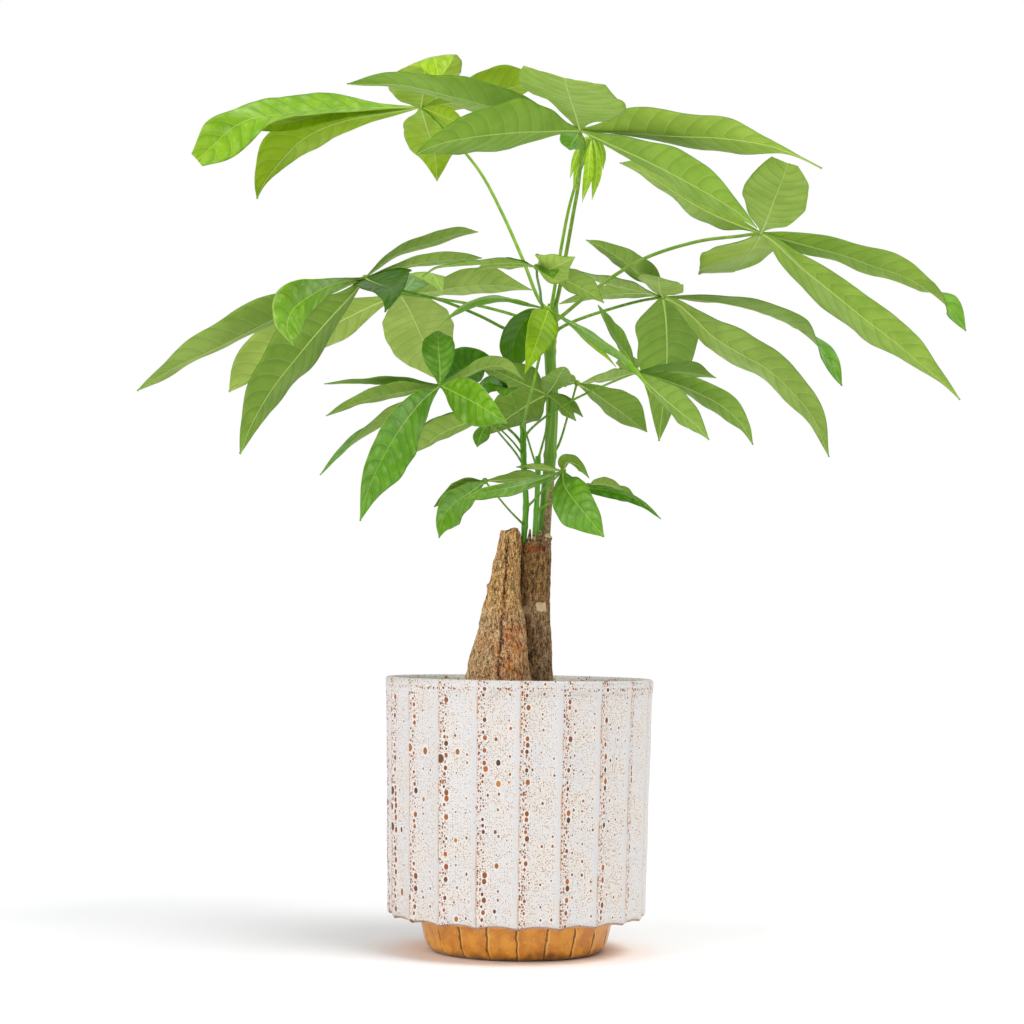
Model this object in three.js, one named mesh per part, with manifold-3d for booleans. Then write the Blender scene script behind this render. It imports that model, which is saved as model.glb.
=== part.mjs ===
// Money tree (Pachira) in a fluted stoneware planter, millimetres, +Z up.
// The origin is the middle of the planter's underside and the front looks along -Y.
import * as THREE from 'three';
import { mergeVertices } from 'three/addons/utils/BufferGeometryUtils.js';
import Module from 'manifold-3d';

const wasm = await Module();
wasm.setup();

// ---------------------------------------------------------------- planter
const POT_HEIGHT = 162;
const POT_RIM_RADIUS = 80; // at the arrises, under the rim
const POT_LOW_RADIUS = 77.2; // at the arrises, at the body's lower edge
const POT_WALL = 6;
const POT_FLUTES = 20;
const POT_STEPS_PER_FLUTE = 4;
const FLUTE_DEPTH = 2.3;
const FLUTE_LOW = 24; // height of the body's lower edge
const FLUTE_HIGH = 156; // height where the flutes arch out under the rim
const SCALLOP = 1.3; // the arrises hang this much lower at the lower edge
const FOOT_RADIUS = 57.6;
const FOOT_BASE_RADIUS = 54;
const FOOT_PANEL_DEPTH = 0.7;
const FLUTE_TURN = 0.4; // degrees from the front to the nearest arris

// ---------------------------------------------------------------- soil and wood
const SOIL_TOP = 154;
const SOIL_FLOOR = 12;
const FIT_GAP = 0.32; // clearance between neighbouring pieces
const TRUNK_FOOT_ROW = 760; // the trunks reach this far down in the soil
const BARK_RELIEF = 0.035; // share of the radius
const TRUNK_SIDES = 18;
const TRUNK_ROWS = 14;

// ---------------------------------------------------------------- shoots and leaves
const MAIN_STEM_RADIUS = 3.5;
const THIN_STEM_RADIUS = 1.7;
const STEM_SIDES = 8;
const STEM_ROWS = 12;
const STALK_RADIUS = [1.35, 0.95]; // where it leaves the stem and at the hub
const STALK_SIDES = 5;
const STALK_ROWS = 8;
const HUB_RADIUS = 2.1;
const BLADE_THICKNESS = 0.8;
const BLADE_ROWS = [[19, 4], [30, 5], [Infinity, 6]]; // rows of a blade up to each width
const BLADE_WIDEST = 1.09; // exponent that sets the widest place past the middle
const BLADE_CUP = 0.2; // rise of the margins over the midrib, per half width
const BLADE_WAVE = 0.08; // margin wave, per half width

// The plant is set out by sight lines from an eye in front of it. A point is
// [column, row, depth]: squares across and down on a grid held square to the
// line of sight through the planter's axis, and millimetres behind that grid.
const GRID_SQUARE = 0.6;
const GRID_MIDDLE = 512;
const EYE_DISTANCE = 1440;
const EYE_PITCH = THREE.MathUtils.degToRad(2.67);
const EYE_ROLL = THREE.MathUtils.degToRad(0.8);
const EYE = new THREE.Vector3(-5.9, -EYE_DISTANCE, 194);
const EYE_TURN = new THREE.Euler(EYE_PITCH, -EYE_ROLL, 0, 'XYZ');

function sighted([column, row, depth]) {
  const across = (column - GRID_MIDDLE) * GRID_SQUARE;
  const up = (GRID_MIDDLE - row) * GRID_SQUARE;
  const ray = new THREE.Vector3(across, EYE_DISTANCE, up).applyEuler(EYE_TURN);
  return ray.multiplyScalar(1 + depth / EYE_DISTANCE).add(EYE);
}

// ---------------------------------------------------------------- solids
function toSolid(geometry) {
  const bare = geometry.clone();
  bare.deleteAttribute('normal');
  bare.deleteAttribute('uv');
  const merged = mergeVertices(bare, 1e-4);
  const vertProperties = new Float32Array(merged.attributes.position.array);
  const triVerts = new Uint32Array(merged.index.array);
  return new wasm.Manifold(new wasm.Mesh({ numProp: 3, vertProperties, triVerts }));
}

function toGeometry(solid) {
  const mesh = solid.getMesh();
  const geometry = new THREE.BufferGeometry();
  geometry.setAttribute('position', new THREE.BufferAttribute(mesh.vertProperties, 3));
  geometry.setIndex(new THREE.BufferAttribute(mesh.triVerts, 1));
  geometry.computeVertexNormals();
  return geometry;
}

// Bends an upright cylinder onto a curve: its radius follows radiusAt(t, angle).
function limb(points, sides, rows, radiusAt) {
  const curve = new THREE.CatmullRomCurve3(points, false, 'centripetal');
  const frames = curve.computeFrenetFrames(rows, false);
  const geometry = new THREE.CylinderGeometry(1, 1, 1, sides, rows);
  const position = geometry.attributes.position;
  for (let i = 0; i < position.count; i += 1) {
    const along = position.getY(i) + 0.5;
    const row = Math.round(along * rows);
    const x = position.getX(i);
    const z = position.getZ(i);
    const radius = radiusAt(along, Math.atan2(x, z));
    const point = curve.getPointAt(along);
    const side = frames.normals[row].clone().multiplyScalar(x * radius);
    const face = frames.binormals[row].clone().multiplyScalar(-z * radius);
    point.add(side).add(face);
    position.setXYZ(i, point.x, point.y, point.z);
  }
  return toSolid(geometry);
}

// ---------------------------------------------------------------- planter
// How far an angle lies into its flute, 0 on the arris and 1 in the flute's middle.
function fluteShare(angle) {
  const pitch = (2 * Math.PI) / POT_FLUTES;
  const front = -Math.PI / 2 + THREE.MathUtils.degToRad(FLUTE_TURN);
  const turns = (angle - front) / pitch;
  return 2 * Math.abs(turns - Math.round(turns));
}

function fluted(geometry) {
  const position = geometry.attributes.position;
  for (let i = 0; i < position.count; i += 1) {
    const x = position.getX(i);
    const y = position.getY(i);
    let z = position.getZ(i);
    const radius = Math.hypot(x, y);
    const share = fluteShare(Math.atan2(y, x));
    const hollow = 1 - (1 - share) ** 2;
    let inward = 0;
    if (radius > POT_LOW_RADIUS - 2 && z > FLUTE_LOW - 3 && z < FLUTE_HIGH) {
      inward = FLUTE_DEPTH * hollow;
      if (z < FLUTE_LOW + 4) {
        z += SCALLOP * (hollow - 1);
      }
    } else if (radius < FOOT_RADIUS + 1 && radius > FOOT_BASE_RADIUS && z < FLUTE_LOW - 4) {
      inward = FOOT_PANEL_DEPTH * hollow;
    }
    const scale = (radius - inward) / Math.max(radius, 1e-6);
    position.setXYZ(i, x * scale, y * scale, z);
  }
  return geometry;
}

function planter() {
  const outside = [
    [0, 0],
    [FOOT_BASE_RADIUS, 0],
    [FOOT_BASE_RADIUS + 1.6, 1.6],
    [FOOT_RADIUS, FLUTE_LOW - 6],
    [FOOT_RADIUS, FLUTE_LOW - 2.5],
    [POT_LOW_RADIUS - 3.2, FLUTE_LOW - 2.5],
    [POT_LOW_RADIUS - 0.8, FLUTE_LOW - 1.4],
    [POT_LOW_RADIUS, FLUTE_LOW + 1],
    [POT_RIM_RADIUS - 0.2, FLUTE_HIGH - 3],
    [POT_RIM_RADIUS, FLUTE_HIGH + 2.4],
    [POT_RIM_RADIUS - 1.2, POT_HEIGHT],
  ];
  const inside = [
    [POT_RIM_RADIUS - POT_WALL + 2.6, POT_HEIGHT],
    [POT_RIM_RADIUS - POT_WALL + 0.6, POT_HEIGHT - 1.6],
    [POT_RIM_RADIUS - POT_WALL, SOIL_TOP - 2],
    [POT_LOW_RADIUS - POT_WALL, FLUTE_LOW + 12],
    [FOOT_RADIUS - POT_WALL, FLUTE_LOW + 2],
    [FOOT_RADIUS - POT_WALL - 3, SOIL_FLOOR],
    [0, SOIL_FLOOR],
  ];
  const profile = [...outside, ...inside].map(([r, z]) => new THREE.Vector2(r, z));
  const lathe = new THREE.LatheGeometry(profile, POT_FLUTES * POT_STEPS_PER_FLUTE);
  lathe.rotateX(Math.PI / 2);
  lathe.rotateZ(THREE.MathUtils.degToRad(FLUTE_TURN));
  return toSolid(fluted(lathe));
}

function soil() {
  const rim = POT_RIM_RADIUS - POT_WALL - FIT_GAP;
  const profile = [
    [0, SOIL_FLOOR + FIT_GAP],
    [FOOT_RADIUS - POT_WALL - 3 - FIT_GAP, SOIL_FLOOR + FIT_GAP],
    [FOOT_RADIUS - POT_WALL - FIT_GAP, FLUTE_LOW + 2 + FIT_GAP],
    [POT_LOW_RADIUS - POT_WALL - FIT_GAP, FLUTE_LOW + 12 + FIT_GAP],
    [rim, SOIL_TOP - 2],
    [rim - 6, SOIL_TOP - 0.8],
    [46, SOIL_TOP + 0.8],
    [30, SOIL_TOP + 0.2],
    [0, SOIL_TOP + 1],
  ].map(([r, z]) => new THREE.Vector2(r, z));
  const lathe = new THREE.LatheGeometry(profile, 24);
  lathe.rotateX(Math.PI / 2);
  return toSolid(lathe);
}

// ---------------------------------------------------------------- trunks
// Both trunks are cut off at the top; girth is the half width, in grid squares.
const LEFT_TRUNK = [
  [492, TRUNK_FOOT_ROW, -9, 36],
  [495, 712, -9, 35.5],
  [497, 682, -9, 33],
  [500.5, 650, -7, 27.5],
  [502.5, 625, -5.5, 23],
  [503, 600, -4, 18],
  [505.5, 578, -3, 14.8],
  [507.5, 558, -2, 12.5],
  [510, 540, -2, 10.2],
  [511, 528, -2, 8.8],
];
const RIGHT_TRUNK = [
  [538, TRUNK_FOOT_ROW, 12, 18],
  [537, 712, 12, 17.6],
  [536, 682, 11, 16.8],
  [535, 650, 9.5, 16.4],
  [534.5, 620, 8, 16.6],
  [534, 600, 7, 16.2],
  [534.5, 575, 7, 16.4],
  [535, 558, 7, 16.8],
  [535.5, 541, 7, 16.6],
];

function trunk(stations, phase, extra) {
  const points = stations.map(([column, row, depth]) => sighted([column, row, depth]));
  const girths = stations.map((station) => station[3] * GRID_SQUARE);
  const length = new THREE.CatmullRomCurve3(points, false, 'centripetal').getLength();
  const spans = points.slice(1).map((point, i) => point.distanceTo(points[i]));
  const reach = [0];
  spans.forEach((span) => reach.push(reach[reach.length - 1] + span / length));
  const radiusAt = (along, angle) => {
    let i = 1;
    while (i < reach.length - 1 && reach[i] < along) {
      i += 1;
    }
    const share = THREE.MathUtils.clamp((along - reach[i - 1]) / (reach[i] - reach[i - 1]), 0, 1);
    const girth = THREE.MathUtils.lerp(girths[i - 1], girths[i], share);
    const ridges = Math.sin(5 * angle + phase + 4 * along) + 0.7 * Math.sin(8 * angle - 7 * along);
    const knots = 0.6 * Math.sin(3 * angle + 11 * along + phase);
    return girth * (1 + BARK_RELIEF * (ridges + knots) * 0.5) + extra;
  };
  return limb(points, TRUNK_SIDES, TRUNK_ROWS, radiusAt);
}

// ---------------------------------------------------------------- shoots
// Radius is given at the foot and at the top, and route is the middle line.
const STEMS = {
  stem_main: {
    radius: [MAIN_STEM_RADIUS + 0.4, MAIN_STEM_RADIUS - 0.3],
    route: [
      [543, 551, 9], [544, 535, 8], [546.5, 500, 5], [550.5, 450, 3], [552.5, 400, 2],
      [550, 352, 1], [553, 304, 0],
    ],
  },
  stem_left: {
    radius: [THIN_STEM_RADIUS + 0.1, THIN_STEM_RADIUS],
    route: [
      [524, 552, 5], [524, 538, 3], [526, 505, 1], [524, 470, 0], [523, 430, 0], [523, 422, 0],
    ],
  },
  stem_middle: {
    radius: [THIN_STEM_RADIUS, THIN_STEM_RADIUS - 0.2],
    route: [[535, 552, 1], [535, 538, 0], [537, 500, -2], [538, 468, -3], [538, 456, -3]],
  },
};

function stem({ radius, route }, extra) {
  const points = route.map(sighted);
  const radiusAt = (along) => THREE.MathUtils.lerp(radius[0], radius[1], along) + extra;
  return limb(points, STEM_SIDES, STEM_ROWS, radiusAt);
}

// ---------------------------------------------------------------- leaves
// A leaf is a stalk that ends in a hub, and blades that fan out from the hub.
// blade: [full width, turn, points of the midrib, options]. Turn is the roll
// about the midrib in degrees from square to the line of sight, as one value or
// as several from base to tip. Positive brings the left margin, seen along the midrib,
// nearer. Option side gives the blade's own cross direction instead, option
// upper tells that the glossy upper face is towards the eye, and option full
// below 1 makes a fuller outline.
const UPPER = { upper: true };
const ACROSS = { side: [1, 0, 0] };

const LEAVES = {
  leaf_crown_front: {
    stem: 'stem_main',
    stalk: [
      [555, 306, 0], [558, 296, -5], [565, 260, -20], [573, 215, -38], [579, 180, -52],
      [581, 150, -64], [580, 130, -70],
    ],
    blades: [
      [41, 53, [
        [610, 131, -76], [650, 132, -88], [700, 136, -100], [750, 144, -110], [790, 154, -118],
        [821, 168, -122],
      ]],
      [38, 60, [
        [604, 140, -76], [648, 158, -88], [698, 184, -102], [737, 210, -114], [757, 228, -120],
      ]],
      [58, 0, [
        [575, 112, -100], [569, 96, -132], [564, 82, -160], [560, 72, -178],
      ], { side: [1, 0, -0.3], full: 0.75 }],
      [42, [-64, -70], [
        [545, 118, -76], [500, 105, -84], [450, 92, -88], [400, 82, -88], [347, 84, -84],
      ]],
      [43, -52, [
        [550, 129, -86], [510, 129, -106], [465, 135, -122], [435, 144, -132], [416, 154, -138],
      ]],
      [17, 0, [[577, 136, -64], [572, 143, -56], [570, 150, -48]], UPPER],
    ],
  },
  leaf_crown_young: {
    stem: 'stem_main',
    stalk: [
      [551, 309, -1], [553, 298, -8], [560, 255, -14], [569, 208, -22], [577, 180, -28],
      [586, 155, -36], [592, 138, -40],
    ],
    blades: [
      [5, 20, [[586, 139, -34], [577, 155, -30], [570, 178, -30]]],
      [5, -10, [[587, 142, -28], [579, 162, -22], [573, 189, -20]]],
      [6, 0, [[590, 150, -44], [588, 175, -46], [582, 203, -46]]],
      [6, 10, [[595, 145, -42], [597, 170, -42], [592, 200, -40]]],
      [5, 20, [[598, 141, -36], [602, 152, -34], [603, 170, -32]]],
      [5, 0, [[594, 143, -32], [595, 160, -28], [593, 186, -26]]],
    ],
  },
  leaf_crown_right: {
    stem: 'stem_main',
    stalk: [
      [553, 322, 0], [562, 316, 5], [585, 297, 9], [620, 272, 12], [650, 256, 14],
      [700, 241, 17], [740, 236, 19], [761, 233, 20],
    ],
    blades: [
      [41, 0, [
        [765, 214, -8], [772, 196, -34], [779, 180, -62], [786, 166, -84],
      ], { side: [1, 0, -0.35], full: 0.55 }],
      [35, [50, 52, 55, 58, 62, 125, 150], [
        [800, 242, 24], [840, 255, 30], [885, 271, 36], [925, 290, 42], [955, 312, 46],
        [966, 331, 48],
      ]],
      [44, 57, [
        [787, 253, 16], [818, 278, 8], [864, 314, -2], [905, 346, -10], [940, 376, -16],
        [961, 399, -20],
      ]],
      [42, 0, [
        [751, 245, 40], [741, 257, 66], [728, 268, 92], [712, 277, 112], [697, 285, 126],
      ], { side: [1, 0, -0.22], full: 0.75 }],
      [40, -60, [[735, 222, 30], [700, 204, 46], [665, 182, 60], [640, 169, 70], [620, 163, 78]]],
    ],
  },
  leaf_crown_left: {
    stem: 'stem_main',
    stalk: [
      [552, 313, 0], [541, 303, 4], [523, 260, 18], [503, 215, 34], [480, 172, 50],
      [452, 138, 62], [421, 107, 70],
    ],
    blades: [
      [34, [74, 74, 74, 74, 74, 72, 70, 40, 0, 0], [
        [385, 108, 66], [345, 108, 60], [295, 110, 50], [258, 112, 42], [232, 120, 36],
        [217, 137, 32], [212, 158, 34],
      ], { upper: true, full: 0.5 }],
      [38, -46, [
        [388, 112, 76], [350, 118, 84], [309, 130, 90], [281, 147, 96], [263, 172, 100],
        [257, 199, 102],
      ]],
      [36, 0, [[426, 122, 98], [432, 140, 126], [436, 160, 148], [437, 181, 160]], ACROSS],
      [46, 0, [
        [423, 96, 46], [424, 81, 18], [427, 67, -6], [434, 59, -26], [439, 78, -38],
      ], { side: [1, 0, 0.26], full: 0.8 }],
      [40, 56, [[450, 101, 78], [485, 91, 84], [520, 83, 88], [552, 80, 88]]],
      [22, 30, [[438, 113, 62], [454, 120, 54], [470, 128, 48]], UPPER],
    ],
  },
  leaf_inner_front: {
    stem: 'stem_main',
    stalk: [
      [549, 318, -1], [543, 308, -8], [540, 290, -40], [537, 275, -76], [537, 267, -86],
    ],
    blades: [
      [18, -72, [[520, 265, -90], [500, 265, -92], [485, 267, -92], [472, 273, -92]]],
      [14, -80, [
        [515, 262, -98], [480, 263, -108], [455, 265, -114], [436, 268, -118], [421, 278, -122],
      ]],
      [24, 66, [[548, 264, -104], [562, 260, -122], [576, 255, -136]]],
      [14, 0, [
        [545, 266, -98], [550, 271, -110], [553, 279, -118],
      ], { side: [1, 0, 0], upper: true }],
      [20, 50, [[555, 273, -84], [575, 283, -82], [592, 293, -80], [604, 303, -78]]],
    ],
  },
  leaf_right_back: {
    stem: 'stem_main',
    stalk: [
      [550, 342, 1], [558, 330, 8], [575, 321, 20], [607, 310, 42], [640, 301, 64],
      [663, 297, 80],
    ],
    blades: [
      [34, [73, 73, 74, 76, 80, 125, 148], [
        [690, 298, 88], [725, 302, 94], [765, 312, 100], [797, 328, 104], [824, 353, 106],
        [841, 386, 106],
      ], { full: 0.8 }],
      [42, 57, [
        [687, 311, 80], [714, 335, 76], [754, 370, 70], [795, 405, 64], [820, 434, 60],
        [829, 457, 56],
      ]],
      [43, 0, [
        [665, 318, 94], [666, 350, 112], [664, 390, 126], [661, 418, 134], [659, 441, 138],
      ], { side: [1, 0.35, 0], full: 0.7 }],
      [22, -76, [[640, 290, 74], [610, 282, 64], [580, 274, 54], [555, 267, 48]]],
      [30, -62, [[640, 296, 92], [612, 297, 100], [582, 302, 106], [557, 309, 110]]],
      [32, -56, [[650, 281, 64], [624, 260, 50], [602, 246, 42], [585, 240, 38]]],
      [23, 0, [[661, 285, 56], [661, 278, 34], [668, 276, 12], [682, 287, -2]], ACROSS],
    ],
  },
  leaf_right_front: {
    stem: 'stem_left',
    stalk: [
      [524, 438, 0], [531, 429, -12], [548, 415, -34], [575, 399, -50], [610, 383, -68],
      [637, 372, -80],
    ],
    blades: [
      [16, -68, [[620, 375, -88], [600, 378, -100], [582, 383, -110]]],
      [12, 20, [[630, 366, -66], [622, 362, -56], [616, 363, -48]]],
      [24, 64, [[660, 370, -74], [690, 372, -66], [716, 380, -60]]],
      [27, 56, [
        [662, 378, -82], [695, 389, -86], [726, 406, -90], [743, 424, -92], [753, 445, -92],
      ]],
      [25, 56, [[655, 388, -90], [679, 408, -100], [698, 425, -106], [709, 440, -110]]],
      [18, -66, [[628, 354, -72], [613, 331, -64], [598, 305, -58]]],
    ],
  },
  leaf_right_small: {
    stem: 'stem_main',
    stalk: [
      [552, 456, 3], [559, 444, 8], [568, 415, 12], [577, 383, 16],
    ],
    blades: [
      [27, 52, [[597, 393, 20], [622, 410, 24], [647, 432, 26]]],
      [10, -40, [[568, 381, 12], [560, 384, 9]]],
    ],
  },
  leaf_inner_low: {
    stem: 'stem_middle',
    stalk: [
      [538, 460, -3], [542, 446, -7], [546, 430, -10], [547, 410, -14], [547, 394, -22],
    ],
    blades: [
      [26, -48, [[530, 385, -31], [512, 376, -39], [496, 370, -46], [480, 366, -50]]],
      [29, -30, [[532, 401, -14], [517, 410, -4], [505, 419, 4], [494, 432, 10]], { full: 0.85 }],
      [19, 0, [
        [553, 385, -42], [558, 376, -66], [564, 367, -84],
      ], { side: [1, 0, 0], full: 0.6 }],
      [16, 40, [[557, 401, -32], [567, 410, -38], [576, 421, -42]]],
      [14, 50, [[560, 398, -26], [572, 406, -26], [583, 417, -26]]],
    ],
  },
  leaf_bright_young: {
    stem: 'stem_left',
    stalk: [
      [523, 426, -1], [526, 412, -18], [531, 393, -44], [536, 372, -56], [541, 350, -56],
      [545, 328, -48], [548, 309, -40],
    ],
    blades: [
      [13, -72, [
        [530, 305, -50], [510, 300, -62], [490, 299, -72], [468, 305, -80], [452, 315, -86],
        [438, 327, -90],
      ], UPPER],
      [19, -25, [[544, 318, -52], [541, 334, -64], [534, 352, -72], [525, 373, -76]], UPPER],
      [11, 64, [
        [565, 320, -52], [590, 335, -70], [625, 360, -100], [640, 376, -110], [652, 394, -114],
      ], UPPER],
      [8, 65, [[568, 322, -42], [590, 342, -40], [605, 355, -38], [616, 367, -36]]],
      [23, -34, [[534, 314, -34], [523, 326, -30], [515, 346, -28], [512, 368, -30]], UPPER],
    ],
  },
  leaf_left_front: {
    stem: 'stem_main',
    stalk: [
      [550, 350, 1], [540, 341, -6], [508, 330, -14], [480, 316, -24], [440, 300, -38],
      [400, 290, -50], [372, 281, -58], [365, 278, -60],
    ],
    blades: [
      [38, -64, [
        [335, 287, -60], [300, 301, -62], [260, 321, -64], [215, 345, -66], [175, 367, -68],
        [138, 391, -70],
      ]],
      [29, -42, [
        [345, 291, -88], [322, 301, -112], [304, 315, -130], [294, 332, -140], [293, 347, -144],
      ]],
      [43, -50, [
        [347, 298, -68], [321, 324, -78], [294, 355, -88], [267, 391, -96], [249, 427, -102],
        [240, 454, -106],
      ]],
      [20, 62, [[386, 260, -54], [412, 248, -48], [442, 238, -42], [478, 232, -38]]],
      [17, 66, [[390, 270, -62], [420, 263, -66], [450, 257, -68], [483, 259, -68]]],
      [33, 0, [
        [379, 282, -84], [391, 288, -104], [390, 300, -116], [385, 312, -122],
      ], { side: [1, 0, 0.15], upper: true }],
    ],
  },
  leaf_left_back: {
    stem: 'stem_main',
    stalk: [
      [551, 333, 1], [540, 325, 5], [520, 317, 12], [480, 306, 28], [440, 299, 44],
      [400, 294, 60],
    ],
    blades: [
      [44, -48, [[368, 306, 68], [337, 320, 76], [295, 342, 84], [257, 368, 92], [229, 392, 98]]],
      [45, 0, [
        [408, 306, 82], [417, 325, 108], [426, 347, 132], [434, 365, 150], [441, 379, 158],
      ], { side: [1, 0.1, 0.3], full: 0.75 }],
      [33, 60, [[430, 290, 68], [460, 284, 76], [495, 283, 82], [532, 290, 86]]],
      [25, 0, [
        [410, 285, 38], [420, 275, 18], [433, 277, 2], [443, 293, -8],
      ], { side: [1, 0, 0], upper: true }],
    ],
  },
  leaf_left_low: {
    stem: 'stem_left',
    stalk: [
      [523, 446, 0], [516, 436, -10], [500, 422, -27], [480, 408, -48], [458, 394, -68],
      [440, 385, -82],
    ],
    blades: [
      [17, -76, [[412, 382, -86], [380, 382, -90], [350, 382, -94], [324, 384, -98]]],
      [21, -66, [[412, 389, -92], [382, 394, -98], [352, 403, -104], [326, 416, -108]]],
      [28, [-56, -110], [[416, 401, -76], [386, 420, -70], [350, 443, -64], [320, 475, -60]]],
      [33, -48, [
        [424, 400, -98], [404, 427, -120], [384, 460, -134], [368, 493, -142], [360, 521, -146],
      ], UPPER],
      [19, 0, [
        [440, 371, -82], [439, 355, -80], [438, 341, -74], [438, 331, -64],
      ], { side: [1, 0, 0], upper: true, full: 0.8 }],
      [25, 22, [[455, 393, -96], [475, 404, -108], [492, 414, -116], [507, 423, -122]], UPPER],
      [18, 66, [[460, 377, -86], [482, 366, -90], [503, 365, -90], [525, 380, -86]]],
      [24, -10, [[452, 376, -64], [467, 366, -44], [482, 361, -28], [497, 363, -18]], UPPER],
    ],
  },
  leaf_left_small: {
    stem: 'stem_left',
    stalk: [
      [524, 466, 0], [515, 452, -16], [500, 434, -40], [487, 418, -58],
    ],
    blades: [
      [21, -62, [[465, 424, -62], [445, 432, -66], [412, 453, -70]]],
      [18, -76, [[462, 418, -56], [440, 420, -56], [416, 429, -56]]],
    ],
  },
  leaf_left_tiny: {
    stem: 'stem_left',
    stalk: [
      [523, 455, 0], [513, 442, -8], [501, 430, -15], [489, 421, -20],
    ],
    blades: [
      [10, -20, [[484, 429, -18], [480, 438, -14], [477, 447, -10]], UPPER],
      [7, 10, [[492, 427, -16], [490, 434, -12]]],
    ],
  },
  leaf_inner_dark: {
    stem: 'stem_middle',
    stalk: [
      [538, 472, -3], [533, 456, -14], [522, 421, -34], [514, 402, -50], [509, 391, -58],
    ],
    blades: [
      [18, -56, [[498, 386, -62], [487, 384, -64], [476, 388, -66]], UPPER],
      [13, 0, [
        [508, 387, -66], [505, 392, -72], [504, 397, -76],
      ], { side: [1, 0, 0], upper: true }],
    ],
  },
  leaf_base_left: {
    stem: 'stem_left',
    stalk: [
      [525, 526, 2], [511, 512, -12], [498, 497, -26], [485, 481, -40],
    ],
    blades: [
      [18, -52, [[468, 486, -46], [450, 495, -50], [435, 507, -54]], UPPER],
      [25, -46, [[467, 494, -52], [450, 508, -60], [441, 523, -66], [439, 538, -70]], UPPER],
      [14, 60, [[503, 479, -38], [524, 477, -34], [545, 477, -30]]],
    ],
  },
  leaf_base_right: {
    stem: 'stem_left',
    stalk: [
      [526, 508, 1], [534, 500, -10], [547, 486, -26], [563, 471, -48],
    ],
    blades: [
      [21, -52, [
        [545, 474, -60], [522, 479, -72], [500, 485, -82], [480, 493, -90], [463, 504, -96],
      ], UPPER],
      [29, 30, [[574, 487, -58], [588, 505, -66], [600, 522, -70], [605, 539, -70]], UPPER],
      [19, 60, [[590, 487, -52], [620, 498, -54], [645, 510, -56], [664, 521, -56]]],
      [14, 0, [[567, 463, -62], [573, 459, -76], [581, 464, -88], [588, 476, -94]], ACROSS],
      [8, -60, [[545, 468, -42], [530, 467, -38], [516, 467, -36]]],
    ],
  },
  leaf_base_small: {
    stem: 'stem_middle',
    stalk: [
      [537, 511, -2], [546, 505, -5], [560, 500, -10], [575, 493, -16], [588, 486, -20],
    ],
    blades: [
      [16, 58, [[600, 487, -18], [618, 493, -14], [640, 504, -10]]],
      [12, 62, [[598, 483, -24], [610, 484, -28], [624, 489, -32]]],
    ],
  },
};

function bladeWidth(along, full) {
  const swell = Math.sin(Math.PI * along ** BLADE_WIDEST);
  return Math.max(0.05, Math.max(swell, 0) ** full);
}

// A blade starts as a flat sheet of two columns; both faces share its triangles.
function blade(hub, [wide, turn, rib, options = {}]) {
  const curve = new THREE.CatmullRomCurve3([hub, ...rib].map(sighted), false, 'centripetal');
  const rows = BLADE_ROWS.find(([limit]) => wide < limit)[1];
  const sheet = new THREE.PlaneGeometry(1, 1, 2, rows);
  const turns = Array.isArray(turn) ? turn : [turn, turn];
  const turnAt = (along) => {
    const place = along * (turns.length - 1);
    const i = Math.min(Math.floor(place), turns.length - 2);
    return THREE.MathUtils.degToRad(THREE.MathUtils.lerp(turns[i], turns[i + 1], place - i));
  };
  const count = sheet.attributes.position.count;
  const frameAt = (along) => {
    const point = curve.getPointAt(along);
    const tangent = curve.getTangentAt(along);
    const sight = point.clone().sub(EYE).normalize();
    let side = new THREE.Vector3().crossVectors(tangent, sight).normalize();
    if (options.side) {
      side = new THREE.Vector3(...options.side);
      side.addScaledVector(tangent, -side.dot(tangent)).normalize();
    }
    side.applyAxisAngle(tangent, turnAt(along));
    const normal = new THREE.Vector3().crossVectors(tangent, side);
    return { point, side, normal, sight };
  };
  const middle = frameAt(0.45);
  const away = middle.normal.dot(middle.sight) > 0 ? 1 : -1;
  const rise = options.upper ? -away : away;
  const corners = [];
  for (const face of [1, -1]) {
    for (let i = 0; i < count; i += 1) {
      const along = Math.floor(i / 3) / rows;
      const column = (i % 3) - 1;
      const { point, side, normal } = frameAt(along);
      const half = 0.5 * wide * bladeWidth(along, options.full ?? 1.05);
      const wave = BLADE_WAVE * Math.sin(9 * along + 1.9 * column) * Math.abs(column);
      const lift = rise * half * (BLADE_CUP * (Math.abs(column) - 0.6) + wave);
      point.addScaledVector(side, column * half);
      point.addScaledVector(normal, lift + 0.5 * face * BLADE_THICKNESS);
      corners.push(point.x, point.y, point.z);
    }
  }
  const faces = Array.from(sheet.index.array);
  const index = [...faces];
  for (let i = 0; i < faces.length; i += 3) {
    index.push(faces[i] + count, faces[i + 2] + count, faces[i + 1] + count);
  }
  const border = [];
  for (let row = 0; row < rows; row += 1) {
    border.push(3 * row);
  }
  border.push(3 * rows, 3 * rows + 1);
  for (let row = rows; row > 0; row -= 1) {
    border.push(3 * row + 2);
  }
  border.push(2, 1);
  border.forEach((from, i) => {
    const to = border[(i + 1) % border.length];
    index.push(to, from, from + count, to, from + count, to + count);
  });
  const geometry = new THREE.BufferGeometry();
  geometry.setAttribute('position', new THREE.Float32BufferAttribute(corners, 3));
  geometry.setIndex(index);
  return toSolid(geometry);
}

function leaf({ stalk, blades }) {
  const hub = stalk[stalk.length - 1];
  const [thick, thin] = STALK_RADIUS;
  const points = stalk.map(sighted);
  const radiusAt = (along) => THREE.MathUtils.lerp(thick, thin, along);
  let solid = limb(points, STALK_SIDES, STALK_ROWS, radiusAt);
  const knob = new THREE.IcosahedronGeometry(HUB_RADIUS, 0);
  const centre = sighted(hub);
  knob.translate(centre.x, centre.y, centre.z);
  solid = solid.add(toSolid(knob));
  blades.forEach((sizes) => {
    solid = solid.add(blade(hub, sizes));
  });
  return solid;
}

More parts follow.
